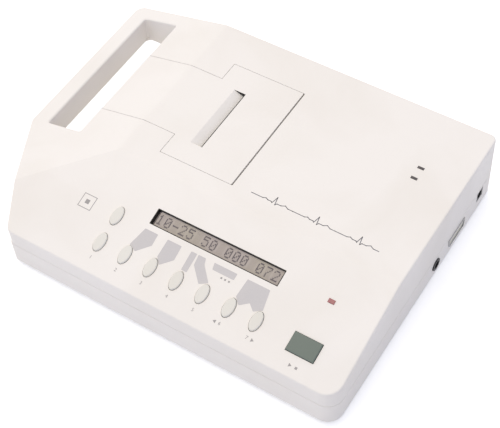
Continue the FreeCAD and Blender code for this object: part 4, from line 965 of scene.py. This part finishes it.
class TearTeeth(Growth):
    """Small pointed teeth of a tear-off bar, towards -X."""

    name = "tear_teeth"
    inputs = {"Tooth Radius": 0.5 * MM, "Tooth Reach": 0.4 * MM}

    def shape(self, sketch: NodeSketch, source: NodeOutputs) -> NodeSocket:
        """Draws one four-sided tooth.

        Args:
            sketch: Where the nodes go.
            source: The tree's inputs.

        Returns:
            The tooth's geometry socket.
        """
        sides = {"Vertices": 4, "Radius Bottom": source["Tooth Radius"], "Depth": source["Tooth Reach"]}
        tooth = sketch.add("GeometryNodeMeshCone", sides).outputs["Mesh"]
        return sketch.moved(tooth, Rotation=(0.0, -QUARTER_TURN, 0.0))


class CoilSprings(Growth):
    """Wound wire springs along X; each starts at its point."""

    name = "coil_springs"
    inputs = {"Turns": 5.0, "Radius": 2.6 * MM, "Wire Radius": 0.35 * MM, "Length": 10.0 * MM}

    def shape(self, sketch: NodeSketch, source: NodeOutputs) -> NodeSocket:
        """Draws one coil of round wire with closed ends.

        Args:
            sketch: Where the nodes go.
            source: The tree's inputs.

        Returns:
            The coil's geometry socket.
        """
        winding = {"Resolution": 28, "Rotations": source["Turns"], "Start Radius": source["Radius"],
                   "End Radius": source["Radius"], "Height": source["Length"]}
        path = sketch.add("GeometryNodeCurveSpiral", winding).outputs[0]
        ring = {"Resolution": 10, "Radius": source["Wire Radius"]}
        wire = sketch.add("GeometryNodeCurvePrimitiveCircle", ring).outputs[0]
        swept = {"Curve": path, "Profile Curve": wire, "Fill Caps": True}
        coil = sketch.add("GeometryNodeCurveToMesh", swept).outputs[0]
        return sketch.moved(coil, Rotation=(0.0, QUARTER_TURN, 0.0))


@dataclass
class Shell:
    """Casing halves, handle, feet, battery door and the screws under them."""

    head_height: float = 2.0

    def build(self) -> None:
        """Dresses the casing and fits its screws."""
        dress(CASING_PLASTIC, "bottom_case", "top_cover", "handle_base")
        dress(DOOR_PLASTIC, "battery_door")
        dress(RUBBER, "feet")
        for node in ("case_screws", "handle_screws", "door_screws"):
            dress(STEEL, node)
            CrossHeadScrews().fitted(node, False, self.head_height)


@dataclass
class ControlPanel:
    """Keys, lamps and the prints of the sloping panel. Sizes in millimetres on the panel's plane."""

    print_rise: float = 0.04
    legend_corner: float = 0.5
    numeral_size: float = 3.6
    numeral_row: float = 10.6
    key_first_x: float = 66.6
    key_pitch: float = 21.1
    lower_keys: int = 7
    all_keys: int = 8
    arrow_size: float = 2.2
    arrow_half_width: float = 1.32
    arrow_left_x: float = 168.0
    arrow_right_x: float = 197.6
    dot_size: float = 1.3
    dot_pitch: float = 3.0
    dot_count: int = 3
    dots_x: float = 156.6
    dots_row: float = 38.6
    mark_x: float = 41.0
    mark_row: float = 44.7
    mark_size: float = 10.8
    mark_line: float = 0.5
    mark_core: float = 3.24
    start_x: float = 230.1
    start_row: float = 7.6
    stop_size: float = 1.76
    legends: tuple[Outline, ...] = (
        ((86.3, 31.0), (92.5, 28.3), (101.0, 37.0), (100.6, 46.0), (90.0, 46.0)),
        ((108.7, 32.0), (113.0, 27.3), (120.7, 34.9), (120.1, 46.0), (108.7, 46.0)),
        ((128.6, 31.3), (133.1, 31.3), (132.8, 46.0), (128.1, 46.0)),
        ((134.8, 38.2), (144.9, 27.9), (150.7, 31.4), (141.4, 41.5), (139.7, 46.0), (133.9, 46.0)),
        ((147.9, 41.0), (164.9, 41.0), (165.0, 46.0), (146.7, 46.0)),
        ((172.2, 32.0), (176.9, 27.2), (182.9, 32.0), (187.8, 27.9), (193.4, 31.4), (190.6, 46.0),
         (173.1, 46.0)),
    )

    def build(self) -> None:
        """Dresses the keys and lamps and lays the prints."""
        dress(KEY_PLASTIC, *(f"key_{number + 1}" for number in range(self.all_keys)))
        dress(START_PLASTIC, "start_key")
        dress(BLACK_PLASTIC, "key_switches")
        dress(BOARD, "key_board")
        dress(RED_LIGHT, "overload_led")
        dress(DARK_LIGHT, "status_leds")
        self.legend_prints()
        self.mark_prints()

    def legend_prints(self) -> None:
        """Lays the grey shapes that lead from the display to the keys."""
        sheet = plates(self.legends, self.print_rise, self.legend_corner)
        placed("panel_legends", gathered([(sheet, CASING.panel())], LEGEND_INK), "casing")

    def mark_prints(self) -> None:
        """Lays key numbers, arrows, dots, a square mark and the start and stop signs."""
        panel = CASING.panel()
        parts = []
        for index in range(self.lower_keys):
            spot = Vector(((self.key_first_x + index * self.key_pitch) * MM, self.numeral_row * MM, 0))
            digits = numeral(str(index + 1), self.numeral_size, self.print_rise)
            parts.append((digits, panel @ Matrix.Translation(spot)))
        outlines = [
            self.arrow(self.arrow_left_x, self.numeral_row, -self.arrow_size),
            self.arrow(self.arrow_right_x, self.numeral_row, self.arrow_size),
            self.arrow(self.start_x - self.arrow_size, self.start_row, self.arrow_size),
            self.bar(self.start_x + self.arrow_size, self.start_row, self.stop_size, self.stop_size),
        ]
        for index in range(self.dot_count):
            x = self.dots_x + index * self.dot_pitch
            outlines.append(self.bar(x, self.dots_row, self.dot_size, self.dot_size))
        parts.append((plates(outlines + self.square_mark(), self.print_rise), panel))
        placed("panel_marks", gathered(parts, CAPTION_INK), "casing")

    def arrow(self, x: float, row: float, reach: float) -> Outline:
        """Returns a triangle that points right for a positive reach and left for a negative one."""
        tail, half = x - reach / 2, self.arrow_half_width
        return ((tail, row - half), (x + reach / 2, row), (tail, row + half))

    def bar(self, x: float, row: float, width: float, height: float) -> Outline:
        """Returns a rectangle about a point."""
        w, h = width / 2, height / 2
        return ((x - w, row - h), (x + w, row - h), (x + w, row + h), (x - w, row + h))

    def square_mark(self) -> list[Outline]:
        """Returns the four bars of a square frame and a square in its middle."""
        bars = []
        for sign in (-1, 1):
            edge = sign * (self.mark_size - self.mark_line) / 2
            inner = self.mark_size - 2 * self.mark_line
            bars.append(self.bar(self.mark_x, self.mark_row + edge, self.mark_size, self.mark_line))
            bars.append(self.bar(self.mark_x + edge, self.mark_row, self.mark_line, inner))
        return [*bars, self.bar(self.mark_x, self.mark_row, self.mark_core, self.mark_core)]


@dataclass
class Deck:
    """Print of the flat deck, a plain pulse trace. Sizes in millimetres on the deck's plane."""

    print_rise: float = 0.04
    trace_left: float = 141.0
    trace_right: float = 240.0
    trace_row: float = 101.0
    trace_line: float = 0.6
    beats: int = 3
    beat_shape: Outline = (
        (0.0, 0.0), (0.28, 0.0), (0.34, 0.9), (0.4, 0.0), (0.48, 0.0), (0.51, -0.7), (0.55, 5.0),
        (0.59, -1.4), (0.62, 0.0), (0.72, 0.0), (0.8, 1.4), (0.88, 0.0), (1.0, 0.0))

    def build(self) -> None:
        """Lays the trace as a row of short overlapping strips."""
        step = (self.trace_right - self.trace_left) / self.beats
        line = []
        for beat in range(self.beats):
            for share, rise in self.beat_shape[beat > 0:]:
                line.append(Vector((self.trace_left + (beat + share) * step, self.trace_row + rise)))
        strips = []
        for start, end in zip(line, line[1:]):
            over = (end - start).normalized() * self.trace_line / 2
            side = Vector((-over.y, over.x))
            corners = (start - over - side, end + over - side, end + over + side, start - over + side)
            strips.append([tuple(corner) for corner in corners])
        sheet = plates(strips, self.print_rise)
        placed("deck_trace", gathered([(sheet, CASING.deck())], MARK_INK), "casing")


@dataclass
class Display:
    """Character display: bezel, glass and dots. Sizes in millimetres on the panel's plane."""

    left_x: float = 90.2
    width: float = 103.2
    front: float = 50.4
    height: float = 12.6
    depth: float = 1.6
    cells: int = 16
    columns: int = 5
    rows: int = 7
    cell_pitch: float = 6.2
    dot_width: float = 0.86
    dot_height: float = 1.06
    dot_gap: float = 0.08
    dot_thickness: float = 0.05
    shown: str = "10-25 50 000 072"
    glyphs: dict[str, tuple[str, ...]] = field(default_factory=lambda: {
        "0": (" ### ", "#   #", "#  ##", "# # #", "##  #", "#   #", " ### "),
        "1": ("  #  ", " ##  ", "  #  ", "  #  ", "  #  ", "  #  ", " ### "),
        "2": (" ### ", "#   #", "    #", "   # ", "  #  ", " #   ", "#####"),
        "5": ("#####", "#    ", "#### ", "    #", "    #", "#   #", " ### "),
        "7": ("#####", "    #", "   # ", "  #  ", " #   ", " #   ", " #   "),
        "-": ("     ", "     ", "     ", "#####", "     ", "     ", "     "),
        " ": ("     ",) * 7,
    })

    def build(self) -> None:
        """Dresses the display and sets its dots on the glass."""
        dress(BLACK_PLASTIC, "display_bezel")
        dress(DISPLAY, "display_glass")
        dress(BOARD, "display_board")
        kinds = (("display_lit_dots", "#", LIT_DOT), ("display_unlit_dots", " ", UNLIT_DOT))
        for name, sign, finish in kinds:
            mesh = DotMatrix().grown(
                self.dots(sign), finish, Dot_Width=self.dot_width * MM, Dot_Height=self.dot_height * MM,
                Dot_Thickness=self.dot_thickness * MM)
            mesh.transform(CASING.panel())
            placed(name, mesh, "casing")

    def dots(self, wanted: str) -> list[Vector]:
        """Places the dots of every character.

        Args:
            wanted: Sign of the lit or the unlit dots in the glyphs.

        Returns:
            The dots with that sign, on the panel's plane.
        """
        across = self.dot_width + self.dot_gap
        up = self.dot_height + self.dot_gap
        first_x = self.left_x + self.width / 2 - (self.cells - 1) / 2 * self.cell_pitch
        middle = self.front + self.height / 2
        spots = []
        for cell, letter in enumerate(self.shown):
            for row, line in enumerate(self.glyphs[letter]):
                for column, sign in enumerate(line):
                    if sign == wanted:
                        x = first_x + cell * self.cell_pitch + (column - (self.columns - 1) / 2) * across
                        y = middle - (row - (self.rows - 1) / 2) * up
                        spots.append(Vector((x * MM, y * MM, -self.depth * MM)))
        return spots


@dataclass
class Printer:
    """Lid, paper drive, print head and paper. Sizes in millimetres on the deck's plane."""

    head_height: float = 2.0
    slot_left: float = 86.7
    slot_right: float = 89.0
    slot_middle: float = 146.5
    slot_length: float = 58.2
    ramp_left: float = 79.1
    ramp_depth: float = 3.2
    bar_width: float = 0.6
    bar_depth: float = 2.4
    bar_sink: float = 0.05
    tooth_pitch: float = 1.0
    tooth_radius: float = 0.5
    # Thickness of the black end plate, which is painted shade on the slot's end wall.
    shade_plate_thickness: float = 0.12
    spring_wire: float = 0.35
    spring_pitch: float = 2.0

    def build(self) -> None:
        """Dresses the printer, fits its screws and springs and lays the tear-off bar and the painted shade
        of the paper slot.
        """
        dress(CASING_PLASTIC, "printer_lid")
        dress(BLACK_PLASTIC, "paper_tray", "paper_spindle")
        dress(STEEL, "printer_frame", "feed_motor", "lid_hinge_arms", "lid_hinge_blocks")
        dress(STEEL, "platen_shaft", "idler_pin", "head_pin", "head_springs", "printer_screws")
        dress(RUBBER, "platen_rubber")
        dress(BRONZE, "platen_bushes", "motor_pinion")
        dress(GEAR_PLASTIC, "platen_gear", "idler_gear")
        dress(ALLOY, "head_bracket")
        dress(CERAMIC, "print_head")
        dress(CARD, "paper_core")
        dress(PAPER, "paper_roll", "paper_strip")
        CrossHeadScrews().fitted("printer_screws", True, self.head_height)
        self.head_springs()
        self.tear_bar_and_painted_shade()

    def head_springs(self) -> None:
        """Winds the print head's springs between the head and the frame."""
        wire = self.spring_wire * MM
        boxes = solid_boxes("head_springs")
        low, high = boxes[0]
        points = []
        for lows, highs in boxes:
            middle = (lows + highs) / 2
            points.append(Vector((lows.x + wire, middle.y, middle.z)))
        length = high.x - low.x - 2 * wire
        mesh = CoilSprings().grown(
            points, STEEL, Turns=length / (self.spring_pitch * MM), Radius=(high.y - low.y) / 2 - wire,
            Wire_Radius=wire, Length=length)
        springs = placed("head_spring_coils", mesh)
        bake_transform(springs)
        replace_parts(springs, "head_springs")

    def tear_bar_and_painted_shade(self) -> None:
        """Builds the black bar along the slot, its teeth, and the plate at the slot's back end; the bar is
        partly a real tear-off bar and partly painted shade, and the end plate is painted shade.
        """
        deck = CASING.deck()
        bar_x = self.slot_right - self.bar_width
        front = self.slot_middle - self.slot_length / 2
        back = self.slot_middle + self.slot_length / 2
        half = (self.bar_depth - self.bar_sink) / 2
        # The bar is partly a tear-off bar and partly painted shade: its black gives the dark line of
        # shadow along the slot's right edge.
        run = ((bar_x, front), (self.slot_right, front), (self.slot_right, back), (bar_x, back))
        sunk = deck @ Matrix.Translation((0, 0, -(half + self.bar_sink) * MM))
        low = -self.bar_sink - self.tooth_radius
        count = int(self.slot_length / self.tooth_pitch)
        points = [Vector((bar_x, front + (i + 0.5) * self.tooth_pitch, low)) * MM for i in range(count)]
        teeth = TearTeeth().grown(points, BLACK_PLASTIC, Tooth_Radius=self.tooth_radius * MM)
        # The end plate is painted shade: a black sheet on the slot's end wall, which is only in shadow.
        end = ((self.ramp_left, 0.0), (self.slot_left, -self.ramp_depth),
               (bar_x, -self.ramp_depth), (bar_x, 0.0))
        half_shade_plate = self.shade_plate_thickness / 2
        stand = Matrix.Translation((0, (back - half_shade_plate) * MM, 0)) @ Matrix.Rotation(QUARTER_TURN, 4, "X")
        parts = [(plates([run], half), sunk), (teeth, deck), (plates([end], half_shade_plate), deck @ stand)]
        placed("tear_bar_and_painted_shade", gathered(parts, BLACK_PLASTIC), "lid")


@dataclass
class Sockets:
    """Power inlet, patient socket and output jack. Sizes in millimetres on the right wall's plane."""

    patient_y: float = 172.2
    patient_height: float = 13.6
    contact_pitch: float = 2.75
    contact_rise: float = 1.42
    contact_length: float = 4.0
    contact_sink: float = 0.4
    upper_contacts: int = 8
    lower_contacts: int = 7

    def build(self) -> None:
        """Dresses the sockets and fits the patient socket's contacts, an upper and a lower row."""
        dress(BLACK_PLASTIC, "power_inlet", "output_jack")
        dress(GEAR_PLASTIC, "patient_socket_insert")
        dress(STEEL, "patient_socket")
        points = []
        for count, side in ((self.upper_contacts, 1), (self.lower_contacts, -1)):
            height = self.patient_height + side * self.contact_rise
            for index in range(count):
                y = self.patient_y + (index - (count - 1) / 2) * self.contact_pitch
                spot = Vector((y, height, -self.contact_length / 2 - self.contact_sink))
                points.append(CASING.right_wall() @ (spot * MM))
        mesh = ContactSleeves().grown(points, GOLD_CONTACT, Length=self.contact_length * MM)
        placed("patient_socket_contacts", mesh, "casing")


@dataclass
class Electronics:
    """Boards, their larger parts and the battery."""

    head_height: float = 1.6

    def build(self) -> None:
        """Dresses the electronics and fits the boards' screws."""
        dress(BOARD, "main_board", "power_board")
        dress(BLACK_PLASTIC, "main_board_parts", "power_board_parts")
        dress(CELL_WRAP, "battery_cells")
        dress(STEEL, "board_screws")
        CrossHeadScrews().fitted("board_screws", True, self.head_height)


@dataclass
class Studio:
    """Floor, sky and lamp. Lengths in metres, power in watts."""

    floor_size: float = 12.0
    floor_colour: Colour = (0.86, 0.86, 0.86, 1.0)
    floor_glow: float = 0.42
    sky_colour: Colour = (0.865, 0.89, 1.0, 1.0)
    sky_right_colour: Colour = (0.72, 0.77, 1.0, 1.0)
    sky_strength: float = 0.995
    sky_right_share: float = 0.5
    key_place: tuple[float, float, float] = (-0.4, 0.1, 1.9)
    key_size: float = 1.6
    key_power: float = 11.8
    key_colour: tuple[float, float, float] = (1.0, 0.85, 0.5)

    def build(self) -> None:
        """Builds floor, sky and lamp, and sets the plain view transform."""
        bpy.context.scene.view_settings.view_transform = "Standard"
        self.floor()
        self.sky()
        self.lamp()

    def seen(self, sketch: NodeSketch) -> NodeSocket:
        """Tells the rays that see the background from those that light the object.

        Args:
            sketch: Where the nodes go.

        Returns:
            A socket that is 1 for camera, glossy and transmission rays.
        """
        path = sketch.add("ShaderNodeLightPath").outputs
        mirrored = sketch.math("MAXIMUM", path["Is Glossy Ray"], path["Is Transmission Ray"])
        return sketch.math("MAXIMUM", path["Is Camera Ray"], mirrored)

    def floor(self) -> None:
        """Lays a pale floor that keeps the object's shadow."""
        half = self.floor_size / 2
        corners = [(-half, -half, 0), (half, -half, 0), (half, half, 0), (-half, half, 0)]
        mesh = bpy.data.meshes.new("floor")
        mesh.from_pydata(corners, [], [(0, 1, 2, 3)])
        mesh.materials.append(bpy.data.materials.new("floor"))
        paint = Paint(mesh.materials[0])
        paint.feed({
            "Base Color": self.floor_colour, "Roughness": 1.0, "Specular IOR Level": 0.0,
            "Emission Color": WHITE,
            "Emission Strength": paint.math("MULTIPLY", self.seen(paint), self.floor_glow)})
        floor = linked("floor", mesh)

    def sky(self) -> None:
        """Makes a sky that lights softly, less and bluer from the right, and looks white."""
        world = bpy.data.worlds.new("studio_sky")
        world.use_nodes = True
        bpy.context.scene.world = world
        sketch = NodeSketch(world.node_tree)
        seen = self.seen(sketch)
        way = sketch.add("ShaderNodeTexCoord").outputs["Generated"]
        right = sketch.spread(sketch.add("ShaderNodeSeparateXYZ", {0: way}).outputs["X"], FULL_ENDS)
        tint = sketch.mix(right, self.sky_colour, self.sky_right_colour)
        low, high = self.sky_strength, self.sky_strength * self.sky_right_share
        soft = sketch.spread(right, FULL_ENDS, low, high)
        sketch.fill(world.node_tree.nodes["Background"], {
            "Color": sketch.mix(seen, tint, WHITE),
            "Strength": sketch.math("MULTIPLY_ADD", seen, sketch.math("SUBTRACT", 1.0, soft), soft)})

    def lamp(self) -> None:
        """Hangs one soft square lamp that faces the object."""
        light = bpy.data.lights.new("key_lamp", "AREA")
        light.size = self.key_size
        light.energy = self.key_power
        light.color = self.key_colour
        lamp = linked("key_lamp", light)
        lamp.location = self.key_place
        lamp.rotation_euler = (-Vector(self.key_place)).to_track_quat("-Z", "Y").to_euler()


@dataclass(frozen=True)
class Viewpoint:
    """Camera at the photograph's angle. Angles in degrees, lengths in metres, lens in millimetres."""

    azimuth: float = 35.90
    elevation: float = 52.75
    roll: float = -4.55
    distance: float = 0.9194
    target: tuple[float, float, float] = (0.0149, 0.0059, 0.0025)
    lens: float = 89.82
    nearest: float = 0.05

    def build(self) -> None:
        """Makes the camera and gives it to the scene."""
        turn, rise, roll = (math.radians(a) for a in (self.azimuth, self.elevation, self.roll))
        reach = math.cos(rise)
        back = Vector((math.sin(turn) * reach, -math.cos(turn) * reach, math.sin(rise)))
        right = (-back).cross(Vector((0, 0, 1))).normalized()
        up = right.cross(-back)
        across = right * math.cos(roll) + up * math.sin(roll)
        upright = up * math.cos(roll) - right * math.sin(roll)
        axes = Matrix((across, upright, back)).transposed().to_4x4()
        data = bpy.data.cameras.new("camera")
        data.lens = self.lens
        data.clip_start = self.nearest
        camera = linked("camera", data)
        camera.matrix_world = Matrix.Translation(Vector(self.target) + back * self.distance) @ axes
        bpy.context.scene.camera = camera


def main() -> None:
    """Builds the studio, the camera and each sub-assembly in order."""
    logging.basicConfig(level=logging.INFO, format="%(name)s: %(message)s")
    parts = (Studio, Viewpoint, Shell, ControlPanel, Deck, Display, Printer, Sockets, Electronics)
    for part in parts:
        part().build()
        LOG.info("finished %s", part.__name__)


if __name__ == "__main__":
    main()
